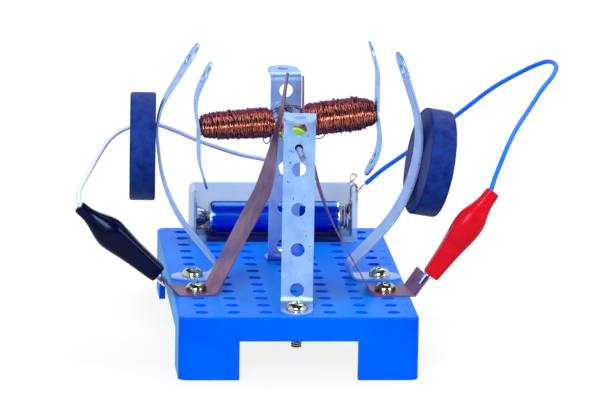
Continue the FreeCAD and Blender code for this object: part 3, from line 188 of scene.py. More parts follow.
finishes = {
    # injection-moulded polypropylene: saturated, slightly uneven, a satin skin that keeps its
    # own blue seen straight on and goes pale at a low angle
    "mouldedBluePlastic": {
        "base": ("#0058EC", "#0062F6"), "patch": 22, "grain": 0.7, "roughness": 0.36,
        "roughSwing": 0.1, "relief": 0.012,
        "shader": {"IOR": 1.49, "Specular IOR Level": 0.04,
                   "Specular Tint": (0.05, 0.35, 1, 1), "Sheen Weight": 0.36,
                   "Sheen Roughness": 0.4, "Sheen Tint": (0.03, 0.75, 1, 1)}},
    # bright zinc on mild steel strip: pale, faintly clouded, a few dark specks
    "zincPlatedSteel": {
        "base": ("#86B0EE", "#9EC4F8"), "patch": 5, "grain": 0.5, "roughness": 0.42,
        "roughSwing": 0.2, "relief": 0.012, "specks": (1.1, 0.27, "#3C4F8C"),
        "shader": {"Metallic": 0.8}},
    # sintered ferrite, ground on its faces: dark, dull, mottled
    "sinteredFerrite": {
        "base": ("#10236A", "#1A3A8A"), "patch": 3.2, "grain": 0.45, "roughness": 0.5,
        "roughSwing": 0.2, "relief": 0.04,
        "shader": {"IOR": 1.5, "Specular IOR Level": 0.12,
                   "Specular Tint": (0.2, 0.35, 1, 1)}},
    # cold-rolled copper foil, handled and a little tarnished
    "springCopper": {
        "base": ("#6E466E", "#906A94"), "patch": 7, "grain": 0.35, "roughness": 0.42,
        "roughSwing": 0.18, "relief": 0.01, "stretch": (1, 1, 0.2),
        "shader": {"Metallic": 0.85}},
    # centreless-ground steel rod
    "groundSteel": {
        "base": ("#6A748E", "#8C96B2"), "patch": 2, "grain": 0.25, "roughness": 0.24,
        "roughSwing": 0.1, "relief": 0.004, "stretch": (1, 0.15, 1),
        "shader": {"Metallic": 1.0}},
    # lime-green moulded insulator
    "limePlastic": {
        "base": ("#8FDC3E", "#A6EE52"), "patch": 4, "grain": 0.5, "roughness": 0.42,
        "roughSwing": 0.1, "relief": 0.01, "shader": {"IOR": 1.5}},
    # bare rolled copper, worn bright by the brushes
    "wornCopper": {
        "base": ("#A0605A", "#C8886E"), "patch": 2, "grain": 0.3, "roughness": 0.32,
        "roughSwing": 0.16, "relief": 0.006, "stretch": (1, 6, 1), "shader": {"Metallic": 1.0}},
    # enamelled copper winding wire: reddish brown where the enamel is thick, pale copper where
    # it is thin, and purple at its edges
    "enamelledWire": {
        "base": ("#803A46", "#DC8C6C"), "patch": 1.1, "grain": 0.3, "roughness": 0.24,
        "roughSwing": 0.08, "relief": 0.003,
        "shader": {"Metallic": 1.0, "Specular Tint": (0.3, 0.24, 0.5, 1)}},
    # yellow chromate over zinc: gold, green and steel in small clouds
    "yellowZinc": {
        "base": ("#D2C27A", "#A4C2CE"), "patch": 1.4, "grain": 0.4, "roughness": 0.2,
        "roughSwing": 0.12, "relief": 0.008, "shader": {"Metallic": 1.0}},
    # milky polystyrene: it glows where light comes through; low in the tray, where the cell keeps
    # the light off, its colour is a painted shade
    "milkyPlastic": {
        "base": ("#98D0FC", "#ACDCFF"), "patch": 12, "grain": 0.8, "roughness": 0.3,
        "roughSwing": 0.08, "relief": 0.01, "paintedShadeZone": (23.0, 25.5, 22.0, 1.5),
        "alpha": (0.72, 0.5), "paintedShade": "#10186A",
        "shader": {"IOR": 1.4, "Specular IOR Level": 0.3}},
    # glossy shrink sleeve on a metal can
    "shrinkSleeve": {
        "base": ("#0005AC", "#010CC0"), "patch": 9, "grain": 1.2, "roughness": 0.2,
        "roughSwing": 0.06, "relief": 0.01, "stretch": (0.3, 1, 1),
        "shader": {"IOR": 2.2, "Specular Tint": (0.05, 0.6, 1, 1)}},
    # nickel plate on stamped sheet
    "nickelPlate": {
        "base": ("#C9D3E8", "#E2E8F6"), "patch": 3, "grain": 0.4, "roughness": 0.2,
        "roughSwing": 0.12, "relief": 0.006, "shader": {"Metallic": 1.0}},
    # the same plate gone dull and dark in patches
    "tarnishedNickel": {
        "base": ("#3C4460", "#C4CEE4"), "patch": 2.4, "grain": 0.4, "roughness": 0.22,
        "roughSwing": 0.12, "relief": 0.006, "shader": {"Metallic": 1.0}},
    # dipped soft vinyl, glossy
    "blackVinyl": {
        "base": ("#010320", "#030630"), "patch": 6, "grain": 0.6, "roughness": 0.22,
        "roughSwing": 0.08, "relief": 0.012,
        "shader": {"IOR": 1.45, "Specular IOR Level": 0.25,
                   "Specular Tint": (0.45, 0.55, 1, 1)}},
    "redVinyl": {
        "base": ("#C80018", "#D80222"), "patch": 6, "grain": 0.6, "roughness": 0.26,
        "roughSwing": 0.08, "relief": 0.014,
        "shader": {"IOR": 1.45, "Specular IOR Level": 0.3,
                   "Specular Tint": (1, 0.5, 0.6, 1)}},
    # extruded PVC insulation
    "blueInsulation": {
        "base": ("#0464F6", "#1478FC"), "patch": 5, "grain": 0.4, "roughness": 0.36,
        "roughSwing": 0.1, "relief": 0.006,
        "shader": {"IOR": 1.5, "Specular Tint": (0.2, 0.5, 1, 1)}},
    "whiteInsulation": {
        "base": ("#CBDDFB", "#DDE9FD"), "patch": 5, "grain": 0.4, "roughness": 0.4,
        "roughSwing": 0.1, "relief": 0.006, "shader": {"IOR": 1.5}},
    # tinned copper strands, the tin rubbed through in places
    "tinnedStrands": {
        "base": ("#C4A8AC", "#E8E4F2"), "patch": 0.8, "grain": 0.2, "roughness": 0.3,
        "roughSwing": 0.1, "relief": 0.002, "shader": {"Metallic": 1.0}},
    # the same wire where it runs bare of its neighbours and has gone brown
    "dullWire": {
        "base": ("#5C3A50", "#8C5C60"), "patch": 1.6, "grain": 0.3, "roughness": 0.36,
        "roughSwing": 0.1, "relief": 0.004, "shader": {"Metallic": 1.0}},
    # painted shade: a dark body under the turns, so that the gaps between them look dark
    "paintedWindingShade": {
        "base": ("#2C1226", "#44202A"), "patch": 1.5, "grain": 0.4, "roughness": 0.6,
        "roughSwing": 0.1, "relief": 0.01, "shader": {"Metallic": 0.5}},
}
look = {name: makeFinish(name, spec) for name, spec in finishes.items()}
print("materials made:", len(look))


# ---- mesh tools
def linked(name, mesh, material, body, replaced=()):
    # an object at the origin that rides on a body and stands for some nodes
    piece = addObject(name, mesh)
    mesh.materials.clear()
    mesh.materials.append(look[material])
    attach(piece, body)
    if replaced:
        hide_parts(*replaced)
    return piece


def gridFaces(rows, columns, closeRows, closeColumns, first=0):
    # quads of a grid of points, row after row, with either direction closed on itself
    index = np.arange(rows * columns).reshape(rows, columns) + first
    below = np.roll(index, -1, axis=0) if closeRows else index[1:]
    here = index if closeRows else index[:-1]
    quads = np.stack([here, np.roll(here, -1, 1), np.roll(below, -1, 1), below], axis=-1)
    if not closeColumns:
        quads = quads[:, :-1]
    return quads.reshape(-1, 4)


def smoothShade(mesh, degrees):
    mesh.polygons.foreach_set("use_smooth", np.ones(len(mesh.polygons), bool))
    mesh.set_sharp_from_angle(angle=math.radians(degrees))
    mesh.update()


# metres within which points count as one, and the degrees from which an edge stays sharp:
# a wire of few sides needs a wide angle to look round
weld = 1e-7
sharpAngle = {"plain": 50, "wire": 80, "thread": 40, "spring": 35}


def makeMesh(name, parts, sharp="plain"):
    # one mesh from several (points grid, close rows, close columns, caps) parts, faces outwards
    points, faces, first = [], [], 0
    for grid, closeRows, closeColumns, caps in parts:
        rows, columns = grid.shape[:2]
        points.append(grid.reshape(-1, 3))
        faces += gridFaces(rows, columns, closeRows, closeColumns, first).tolist()
        if caps:
            faces.append(list(range(first, first + columns)))
            last = first + (rows - 1) * columns
            faces.append(list(range(last, last + columns)))
        first += rows * columns
    mesh = bpy.data.meshes.new(name)
    mesh.from_pydata(np.concatenate(points).tolist(), [], faces)
    work = bmesh.new()
    work.from_mesh(mesh)
    bmesh.ops.remove_doubles(work, verts=work.verts, dist=weld)
    bmesh.ops.recalc_face_normals(work, faces=work.faces)
    work.to_mesh(mesh)
    work.free()
    smoothShade(mesh, sharpAngle[sharp])
    return mesh


def tubePoints(path, radius, sides, reference):
    # rings round a path: ring = path point + radius (cos t * a + sin t * b), with a the part of
    # the reference direction that is square to the path, and b square to both
    way = np.gradient(path, axis=0)
    way /= np.linalg.norm(way, axis=1)[:, None]
    a = reference - (way @ reference)[:, None] * way
    a /= np.linalg.norm(a, axis=1)[:, None]
    b = np.cross(way, a)
    t = np.linspace(0, 2 * np.pi, sides, endpoint=False)
    radius = np.broadcast_to(np.asarray(radius, float), (len(path),))
    ring = np.cos(t)[None, :, None] * a[:, None] + np.sin(t)[None, :, None] * b[:, None]
    return path[:, None] + ring * radius[:, None, None]


# the radius at which a turned shape closes on its axis, in mm
pole = 0.02


def lathePoints(profile, columns, origin, axis, side):
    # rings of a profile of (place along the axis, radius) pairs about the axis through origin
    axis, side = np.array(axis, float), np.array(side, float)
    other = np.cross(axis, side)
    t = np.linspace(0, 2 * np.pi, columns, endpoint=False)
    spokes = np.cos(t)[:, None] * side + np.sin(t)[:, None] * other
    profile = np.array(profile, float)
    return (np.array(origin, float) + profile[:, :1, None] * axis
            + profile[:, 1:, None] * spokes[None])


def hermite(x, xs, ys):
    # smooth curve through the points (xs, ys), its slopes those between the neighbours
    xs, ys = np.array(xs, float), np.array(ys, float)
    slope = np.gradient(ys, xs)
    k = np.clip(np.searchsorted(xs, x) - 1, 0, len(xs) - 2)
    h = xs[k + 1] - xs[k]
    t = (x - xs[k]) / h
    return ((2 * t**3 - 3 * t**2 + 1) * ys[k] + (t**3 - 2 * t**2 + t) * h * slope[k]
            + (3 * t**2 - 2 * t**3) * ys[k + 1] + (t**3 - t**2) * h * slope[k + 1])


# metres within which a node's points are joined, degrees up to which its triangles count as
# one flat face, and the rounding of its edges
dressing = {"weld": 2e-6, "flat": 0.3, "segments": 2, "angle": 32}


def dressNode(name, material, edge, body):
    # a node's own shape with its loose triangles joined and its sharp edges broken by edge mm
    work = bmesh.new()
    work.from_mesh(nodes[name].data)
    bmesh.ops.remove_doubles(work, verts=work.verts, dist=dressing["weld"])
    bmesh.ops.dissolve_limit(work, angle_limit=math.radians(dressing["flat"]),
                             verts=work.verts, edges=work.edges)
    mesh = bpy.data.meshes.new(name + "_dressed")
    work.to_mesh(mesh)
    work.free()
    piece = linked(name + "_dressed", mesh, material, body, [name])
    mesh.polygons.foreach_set("use_smooth", np.ones(len(mesh.polygons), bool))
    bevel = piece.modifiers.new("edges", "BEVEL")
    bevel.width = edge * mm
    bevel.segments = dressing["segments"]
    bevel.limit_method = "ANGLE"
    bevel.angle_limit = math.radians(dressing["angle"])
    bevel.use_clamp_overlap = True
    normals = piece.modifiers.new("normals", "WEIGHTED_NORMAL")
    normals.keep_sharp = True
    return piece


# ---- clips: their boots, jaws, pins and springs. Each has the middle of its boot's mouth, the
# way along the boot and the way up, and the boot's width at some places along it
clips = {
    "black": {
        "mouth": (-42.5931, -30.3043, 25.1358), "along": (-0.76041, 0, 0.64945),
        "up": (0.64945, 0, 0.76041), "material": "blackVinyl", "slot": "black_vinyl",
        "stations": [0, 2, 4.7, 8.5, 12.3, 16.1, 18.4, 20.2, 21.8, 23.7, 25.6, 27.5, 29.4, 33.2],
        "widths": [5.8, 6.2, 6.6, 7.2, 7.9, 9.0, 9.6, 9.8, 9.3, 8.2, 6.8, 5.4, 4.5, 4.1]},
    "red": {
        "mouth": (43.2213, -34.9017, 26.7129), "along": (0.5807, 0, 0.81412),
        "up": (0.81412, 0, -0.5807), "material": "redVinyl", "slot": "red_vinyl",
        "stations": [0, 2, 4.7, 8.5, 12.2, 16, 18.2, 20, 21.7, 23.5, 25.4, 27.3, 29.2, 33.2],
        "widths": [5.2, 5.5, 5.9, 6.5, 7.3, 8.4, 8.9, 9.1, 8.9, 8.2, 6.9, 5.7, 5.0, 4.5]},
}


# both boots: how square and how flat the section is at some places, and the rounding of the
# two lips
boot = {
    "length": 33.2, "wall": 0.55, "rows": 90, "columns": 72, "rise": 0.8,
    "places": [0, 14, 21, 28, 33.2], "powers": [3.6, 3.4, 2.7, 3.2, 3.0],
    "flats": [0.95, 0.92, 0.92, 0.95, 0.98], "lip": 0.18, "lipLength": 0.35,
}


def makeBoot(colour, s):
    # section at each place along the boot: a superellipse of the given width, |y|^p + |z|^p = 1,
    # whose power p is lowest at the belly; the inside is the same section less the wall, so the
    # grid closes on itself at mouth and neck
    x = np.linspace(0, boot["length"], boot["rows"])
    half = hermite(x, s["stations"], s["widths"]) / 2
    power = np.interp(x, boot["places"], boot["powers"])[:, None]
    flat = np.interp(x, boot["places"], boot["flats"])
    t = np.linspace(0, 2 * np.pi, boot["columns"], endpoint=False)
    squash = (np.abs(np.cos(t)) ** power + np.abs(np.sin(t)) ** power) ** (-1 / power)
    lip = boot["lip"] * (np.exp(-x / boot["lipLength"])
                         + np.exp(-(boot["length"] - x) / boot["lipLength"]))
    outer = (half - lip)[:, None] * squash
    inner = (half - boot["wall"] + lip)[:, None] * squash
    mouth, along, up = (np.array(s[k], float) for k in ("mouth", "along", "up"))
    across = np.cross(up, along)

    def place(radius):
        y = radius * np.cos(t) * flat[:, None]
        z = radius * np.sin(t) + boot["rise"]
        return (mouth + x[:, None, None] * along + y[..., None] * across + z[..., None] * up) * mm

    grid = np.concatenate([place(outer), place(inner)[::-1]])
    mesh = makeMesh(colour + "_boot", [(grid, True, True, False)])
    return linked(colour + "_boot_soft", mesh, s["material"], "frame",
                  [colour + "_boot"])


clipEdge = 0.06
for colour, s in clips.items():
    pieces = [makeBoot(colour, s)]
    for part, body in (("fixed_jaw", "frame"), ("moving_jaw", colour + "_jaw"),
                       ("pivot_pin", "frame"), ("jaw_spring", "frame")):
        pieces.append(dressNode(colour + "_" + part, "nickelPlate",
                                clipEdge, body))
print("clips made")

# ---- leads: control points of one smooth line each, millimetres
leads = {
    "blue_lead": {
        "clip": "red", "material": "blueInsulation", "slot": "blue_insulation",
        "length": 157.3, "diameter": 1.5,
        "route": [
            (30.7, 50.8, 38.5), (33, 50.7, 40.5), (35.8, 50.4, 43.1), (41.5, 49, 47.5),
            (48.1, 46, 53.1), (55.7, 42, 60.3), (62.6, 37.5, 67), (69.8, 32, 74.4),
            (77.1, 26, 80.0), (82.3, 21, 83.9), (86.3, 16, 86.4), (88.5, 10.5, 85.7),
            (86.2, 5, 82.9), (82.4, 0, 80.2), (77.8, -7.5, 75.4), (72.7, -16, 70.8),
            (68.8, -24, 66.2), (65.8, -30.2, 61.3), (63.7, -33.8, 57.5),
            (62.535, -34.902, 53.962), (61.352, -34.902, 50.753), (59.668, -34.902, 48.392)]},
    "white_lead": {
        "clip": "black", "material": "whiteInsulation", "slot": "white_insulation",
        "length": 167.5, "diameter": 1.5,
        "route": [
            (-24, 60, 24), (-18.4, 60, 24), (-12, 61.2, 25), (-5.5, 62, 27.5), (0, 62, 32),
            (2.5, 60, 38), (1.5, 56, 43.5), (-2.6, 51, 46.6), (-11, 44.5, 49.2),
            (-19, 38, 52.9), (-26.7, 31.5, 56.8), (-34.3, 25, 61.3), (-42.1, 18, 65.3),
            (-47.9, 12.5, 65.4), (-53.4, 6.5, 64.5), (-57.4, -1.5, 62.7), (-60.7, -10.5, 59.6),
            (-63.7, -18.5, 56.3), (-66.2, -24.2, 53.4), (-67.7, -27.9, 50.9),
            (-67.146, -30.304, 47.816), (-64.886, -30.304, 45.228), (-62.757, -30.304, 43.409)]},
}


def makeLead(name, s):
    points = np.array(s["route"], float) * mm
    curve = bpy.data.curves.new(name + "_line", "CURVE")
    curve.dimensions = "3D"
    spline = curve.splines.new("NURBS")
    spline.points.add(len(points) - 1)
    spline.points.foreach_set("co", np.c_[points, np.ones(len(points))].ravel())
    spline.order_u = 3
    spline.use_endpoint_u = True
    spline.resolution_u = 10
    curve.bevel_depth = s["diameter"] / 2 * mm
    curve.bevel_resolution = 4
    curve.use_fill_caps = True
    curve.materials.append(look[s["material"]])
    piece = addObject(name + "_line", curve)
    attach(piece, "frame")
    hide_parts(name)


for name, s in leads.items():
    makeLead(name, s)
print("leads made")

# ---- sheet, rod and moulded pieces: the nodes' own shapes with broken edges
dressed = {
    "base_plate": ("mouldedBluePlastic", "base_plastic", 0.3, "frame"),
    "front_upright": ("zincPlatedSteel", "strip_steel", 0.14, "frame"),
    "rear_upright": ("zincPlatedSteel", "strip_steel", 0.14, "frame"),
    "left_pole_strip": ("zincPlatedSteel", "strip_steel", 0.14, "frame"),
    "right_pole_strip": ("zincPlatedSteel", "strip_steel", 0.14, "frame"),
    "upper_core_strip": ("zincPlatedSteel", "strip_steel", 0.14, "rotor"),
    "lower_core_strip": ("zincPlatedSteel", "strip_steel", 0.14, "rotor"),
    "left_brush": ("springCopper", "brush_copper", 0.08, "frame"),
    "right_brush": ("springCopper", "brush_copper", 0.08, "frame"),
    "shaft": ("groundSteel", "shaft_steel", 0.3, "rotor"),
    "shaft_collars": ("groundSteel", "shaft_steel", 0.3, "rotor"),
    "commutator_core": ("limePlastic", "drum_plastic", 0.2, "rotor"),
    "upper_segment": ("wornCopper", "segment_copper", 0.08, "rotor"),
    "lower_segment": ("wornCopper", "segment_copper", 0.08, "rotor"),
    "hex_nuts": ("yellowZinc", "screw_zinc", 0.2, "frame"),
    "holder_screws": ("yellowZinc", "screw_zinc", 0.1, "frame"),
    "holder_nuts": ("yellowZinc", "screw_zinc", 0.2, "frame"),
    "cell_holder": ("milkyPlastic", "holder_plastic", 0.3, "frame"),
    "positive_contact": ("tarnishedNickel", "contact_nickel", 0.1, "frame"),
}
# thin sheets that have been bent by hand: the middle line along y at two heights, then for
# some heights the move along x in mm and the twist in degrees
handBent = {
    "left_pole_strip": {
        "middle": ((20, -9.3), (96, -9.3)),
        "rows": [(78, 0, 0), (90, 0, 4.6), (97, 0, 4.6)]},
    "right_pole_strip": {
        "middle": ((20, -8.5), (96, -8.5)),
        "rows": [(74, 0, 0), (86, 0, 3.0), (97, 0, 3.0)]},
    "left_brush": {
        "middle": ((20, -29), (70, -25.4)),
        "rows": [(21.2, 0, 0), (27, 0.8, 1.5), (38, 1.3, 3.5), (44, 1.4, 3), (50, 1.0, 1.5),
                 (57, 0.5, 4), (62, 0.3, 2), (66, 0.3, -2), (70, 0.15, -3), (90, 0, 0)]},
}


def bendByHand(mesh, s):
    # x moves by the row's shift, less the distance from the middle line times the sine of the
    # row's twist; shift and twist go smoothly from row to row with height
    points = np.empty(len(mesh.vertices) * 3)
    mesh.vertices.foreach_get("co", points)
    points = points.reshape(-1, 3)
    (z0, y0), (z1, y1) = s["middle"]
    heights, shifts, turns = np.array(s["rows"], float).T
    z = np.clip(points[:, 2] / mm, heights[0], heights[-1])
    away = points[:, 1] / mm - np.interp(z, (z0, z1), (y0, y1))
    move = np.interp(z, heights, shifts) - away * np.sin(np.radians(hermite(z, heights, turns)))
    points[:, 0] += move * mm
    mesh.vertices.foreach_set("co", points.ravel())


for name, (material, slot, edge, body) in dressed.items():
    piece = dressNode(name, material, edge, body)
    if name in handBent:
        bendByHand(piece.data, handBent[name])
print("plain pieces dressed:", len(dressed))

# ---- magnets
magnetSettings = {
    "diameter": 34.6, "thickness": 8.2, "round": 0.8, "columns": 144, "faceRows": 14,
    "arcRows": 7, "wander": 0.03, "waves": range(5, 16),
    "left": {"lean": 0, "yaw": -3, "sign": -1, "seed": 3},
    "right": {"lean": 10.3, "yaw": 6.4, "sign": 1, "seed": 4},
}


def makeMagnet(side):
    # profile: from the centre of one face to the centre of the other, with a quarter round at
    # each rim; the rim wanders by a few hundredths as a pressed and ground part does
    s = magnetSettings
    own = s[side]
    radius, half, r = s["diameter"] / 2, s["thickness"] / 2, s["round"]
    arc = np.linspace(0, np.pi / 2, s["arcRows"])
    faceRadii = np.linspace(pole, radius - r, s["faceRows"])
    lower = [(-half, q) for q in faceRadii] + [
        (-half + r - r * math.cos(a), radius - r + r * math.sin(a)) for a in arc[1:]]
    upper = [(-x, q) for x, q in lower[::-1]]
    profile = lower + upper
    lean, yaw = math.radians(own["lean"]), math.radians(own["yaw"])
    axis = np.array([own["sign"] * math.cos(lean), 0, -math.sin(lean)])
    turn = np.array([[math.cos(yaw), -math.sin(yaw), 0], [math.sin(yaw), math.cos(yaw), 0],
                     [0, 0, 1]])
    axis = turn @ axis
    spoke = turn @ np.array([0, 1.0, 0])
    low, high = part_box(side + "_magnet")
    centre = np.array((low + high) / 2) / mm
    grid = lathePoints(profile, s["columns"], centre, axis, spoke)
    rng = np.random.default_rng(own["seed"])
    t = np.linspace(0, 2 * np.pi, s["columns"], endpoint=False)
    waves = sum(rng.normal(0, s["wander"]) * np.cos(k * t + rng.uniform(0, 6))
                for k in s["waves"])
    away = grid - centre
    away -= (away @ axis)[..., None] * axis
    grid -= away / radius * np.abs(waves)[None, :, None]
    mesh = makeMesh(side + "_magnet_disc", [(grid * mm, False, True, True)])
    linked(side + "_magnet_disc", mesh, "sinteredFerrite", "frame", [side + "_magnet"])


for side in ("left", "right"):
    makeMagnet(side)
print("magnets made")

# ---- windings, in the rotor's own frame: x along the core, z up. For some places along the
# core the depth of wound wire on each side, and how far its middle rises from end to end
rotor = {"centre": (0, -6, 70.6), "angle": 5.7}
winding = {
    "places": (4.6, 7.1, 22.3, 27.4, 28.25), "left": (2.5, 3.7, 3.2, 2.4, 1.4),
    "right": (2.5, 3.9, 4.2, 2.7, 1.4), "leftRise": (-0.1, 0.7), "rightRise": (-0.5, 0.1),
    "halfWidth": 5, "halfHeight": 0.8, "wire": 0.5,
    "steps": 36, "sides": 7, "squareness": 2.3, "insideDepth": 0.45, "insideGrid": (24, 48),
    "seeds": {"left": 11, "right": 21},
    # layers of turns: pitch, lift off the layer below, looseness, slant
    "layers": [(0.52, -0.05, 0.12, 0.3), (0.75, 0.08, 0.2, -0.7), (1.5, 0.12, 0.34, 1.3)],
}


def rotorPlace(points):
    # turned by the rest angle about the shaft's direction, then moved to the rotor's centre
    a = math.radians(rotor["angle"])
    x = points[..., 0] * math.cos(a) - points[..., 2] * math.sin(a)
    z = points[..., 0] * math.sin(a) + points[..., 2] * math.cos(a)
    return (np.stack([x, points[..., 1], z], axis=-1) + rotor["centre"]) * mm


def buildAt(x, side):
    # thickness of the wound copper at a place along the core
    return np.interp(x, winding["places"], winding[side])


def oblong(x, build, angle, side):
    # a point round the core: a superellipse of the core's half sizes plus the build-up, its
    # middle lifted a little along the core
    s = winding
    p = 2 / s["squareness"]
    y = (s["halfWidth"] + build) * np.sign(np.cos(angle)) * np.abs(np.cos(angle)) ** p
    z = (s["halfHeight"] + build) * np.sign(np.sin(angle)) * np.abs(np.sin(angle)) ** p
    rise = np.interp(x, (s["places"][0], s["places"][-1]), s[side + "Rise"])
    return np.stack([x * (-1 if side == "left" else 1), y, z + rise], axis=-1)


def windWire(side, pitch, lift, loose, slant, seed):
    # one wire as a helix: the place along the core grows with the angle, and both it and the
    # distance from the core wander from turn to turn; slant leans each turn to one side
    s = winding
    rng = np.random.default_rng(seed)
    start, end = s["places"][0], s["places"][-1]
    count = int((end - start - s["wire"]) / pitch)
    t = np.linspace(0, count, count * s["steps"] + 1)
    knots = np.arange(0, count + 1, 0.5)

    def wander(size):
        return hermite(np.clip(t, 0, knots[-1] - 1e-6), knots, rng.normal(0, size, len(knots)))

    angle = 2 * np.pi * t
    x = start + s["wire"] / 2 + pitch * t + wander(loose * 0.7) + slant * np.sin(angle + 0.6)
    x = np.clip(x, start + 0.1, end - 0.1)
    build = buildAt(x, side) - s["wire"] / 2 + lift + np.abs(wander(loose))
    path = oblong(x, build, angle, side)
    return rotorPlace(tubePoints(path, s["wire"] / 2, s["sides"], np.array([1.0, 0, 0])))


def makeWinding(side, seed):
    # a body below the wire's surface, dark as painted shade for the gaps between turns, and the
    # wires over it
    name = side + "_winding"
    rows, columns = winding["insideGrid"]
    x = np.linspace(winding["places"][0], winding["places"][-1], rows)
    angle = np.linspace(0, 2 * np.pi, columns, endpoint=False)
    inner = oblong(np.broadcast_to(x[:, None], (rows, columns)),
                   (buildAt(x, side) - winding["insideDepth"])[:, None], angle[None], side)
    body = makeMesh(name + "_inside", [(rotorPlace(inner), False, True, True)])
    linked(name + "_inside", body, "paintedWindingShade", "rotor", [name])
    wires = [windWire(side, pitch, lift, loose, slant, seed + k)
             for k, (pitch, lift, loose, slant) in enumerate(winding["layers"])]
    mesh = makeMesh(name + "_turns", [(grid, False, True, True) for grid in wires], "wire")
    linked(name + "_turns", mesh, "enamelledWire", "rotor", [name])


for side, seed in winding["seeds"].items():
    makeWinding(side, seed)


def smoothPath(points, count=60):
    # a smooth line through a few points, by distance along them
    points = np.array(points, float)
    place = np.r_[0, np.cumsum(np.linalg.norm(np.diff(points, axis=0), axis=1))]
    t = np.linspace(0, place[-1], count)
    return np.stack([hermite(t, place, points[:, k]) for k in range(3)], axis=-1)


coilEnds = {
    "radius": 0.16, "sides": 8,
    # from each winding's inner end to a segment
    "leads": [
        [(4.8, -0.6, 3.0), (3.4, -1.6, 4.2), (2.2, -5, 5.2), (1.5, -10, 5.2), (1.2, -13.5, 4.4)],
        [(-4.8, 0.6, -3.0), (-3.4, -0.6, -4.2), (-2.2, -5, -5.2), (-1.5, -10, -5.2),
         (-1.2, -13.5, -4.4)]],
    # from winding to winding, over the shaft
    "crossings": [
        [(-4.9, -2.5, 3.1), (-3, -2.0, 3.9), (0, 0, 4.5), (3, 2.2, 4.1), (4.9, 3.2, 3.2)],
        [(-4.9, 3.4, 3.0), (-2.5, 2.4, 3.6), (0.6, 0.8, 3.9), (3.2, -1.6, 3.8), (4.9, -3, 3.1)],
        [(-4.9, -3.8, 1.5), (-2.5, -4.8, 2.6), (0.4, -5.1, 2.9), (3, -4.4, 2.4), (4.9, -3.6, 1.6)],
        [(-4.9, 1.2, 3.2), (-2.2, 0.2, 4.6), (0.8, -1.2, 5.0), (3.4, -2.6, 4.2),
         (4.9, -3.6, 3.0)]],
    # slack loops under the windings
    "loops": [
        [(6.5, -4.6, -4.0), (7.4, -5.2, -5.3), (9.2, -5.4, -5.8), (11, -5.0, -5.1),
         (11.6, -4.4, -4.1)],
        [(-8.6, -4.8, -4.0), (-8.4, -5.4, -5.2), (-7.6, -5.6, -5.8), (-6.7, -5.3, -5.3),
         (-6.4, -4.8, -4.1)]],
}


def makeCoilEnds(s):
    upward = np.array([0.1, 0.2, 1.0])
    grids = [rotorPlace(tubePoints(smoothPath(points), s["radius"], s["sides"], upward))
             for points in s["leads"] + s["crossings"] + s["loops"]]
    mesh = makeMesh("coil_ends", [(grid, False, True, True) for grid in grids], "wire")
    linked("coil_ends", mesh, "dullWire", "rotor", ["coil_leads"])


makeCoilEnds(coilEnds)
print("windings made")

# ---- machine screws: dome with a cross recess, threaded shank. Each place: x, y, the sheet
# between head and deck, and the turn of the cross in degrees
deck = 20
screw = {
    "head": 6.8, "height": 2.6, "domePower": 2.3, "shank": 3.4, "length": 12, "pitch": 0.7,
    "recess": 3.8, "recessWidth": 0.95, "recessDepth": 1.3, "columns": 96, "domeRows": 44,
    "threadMean": 0.12, "threadSwing": 0.14, "bevel": 0.6, "under": 0.3, "fillet": 0.05,
    "recessEdge": 0.24, "recessFall": 1.6, "recessAbove": 0.4,
    "places": [(-0.33, -60, 0.8, 20), (0.2, 20, 0.8, 55), (-30, -10, 0.8, 10), (30, -10, 0.8, 70),
               (-30, -30, 0.4, 35), (30, -30, 0.4, 5)],
}


def makeScrews(s):
    # head: (r/R)^p + (z/H)^p = 1, less a cross whose arms get shallower outwards;
    # shank: a radius that rises and falls once a pitch
    radius, height, p = s["head"] / 2, s["height"], s["domePower"]
    dome = np.sin(np.linspace(0.01, np.pi / 2, s["domeRows"])) * radius
    domeHeight = height * (1 - np.minimum(dome / radius, 1) ** p) ** (1 / p)
    drop = np.arange(0, s["length"], s["pitch"] / 4)
    shank = s["shank"] / 2
    thread = shank - s["threadMean"] - s["threadSwing"] * np.cos(drop * 2 * np.pi / s["pitch"])
    radii = np.r_[dome, radius - s["under"], shank + s["fillet"], thread, shank - s["bevel"],
                  pole]
    heights = np.r_[domeHeight, 0, 0, -drop, -s["length"], -s["length"]]
    t = np.linspace(0, 2 * np.pi, s["columns"], endpoint=False)
    x = radii[:, None] * np.cos(t)
    y = radii[:, None] * np.sin(t)
    z = np.broadcast_to(heights[:, None], x.shape).copy()

    def arm(along, across):
        edge, half = s["recessEdge"], s["recess"] / 2
        inside = np.clip((s["recessWidth"] / 2 + edge / 2 - np.abs(across)) / edge, 0, 1)
        reach = np.clip((half - np.abs(along)) / half * s["recessFall"], 0, 1)
        return inside * reach

    cross = np.maximum(arm(x, y), arm(y, x)) * (heights > s["recessAbove"])[:, None]
    z -= cross * s["recessDepth"]
    parts = []
    for px, py, seat, degrees in s["places"]:
        a = math.radians(degrees)
        grid = np.stack([px + x * math.cos(a) - y * math.sin(a),
                         py + x * math.sin(a) + y * math.cos(a), deck + seat + z], axis=-1)
        parts.append((grid * mm, False, True, True))
    mesh = makeMesh("screws_domed", parts, "thread")
    linked("screws_domed", mesh, "yellowZinc", "frame", ["machine_screws"])


makeScrews(screw)
print("screws made")

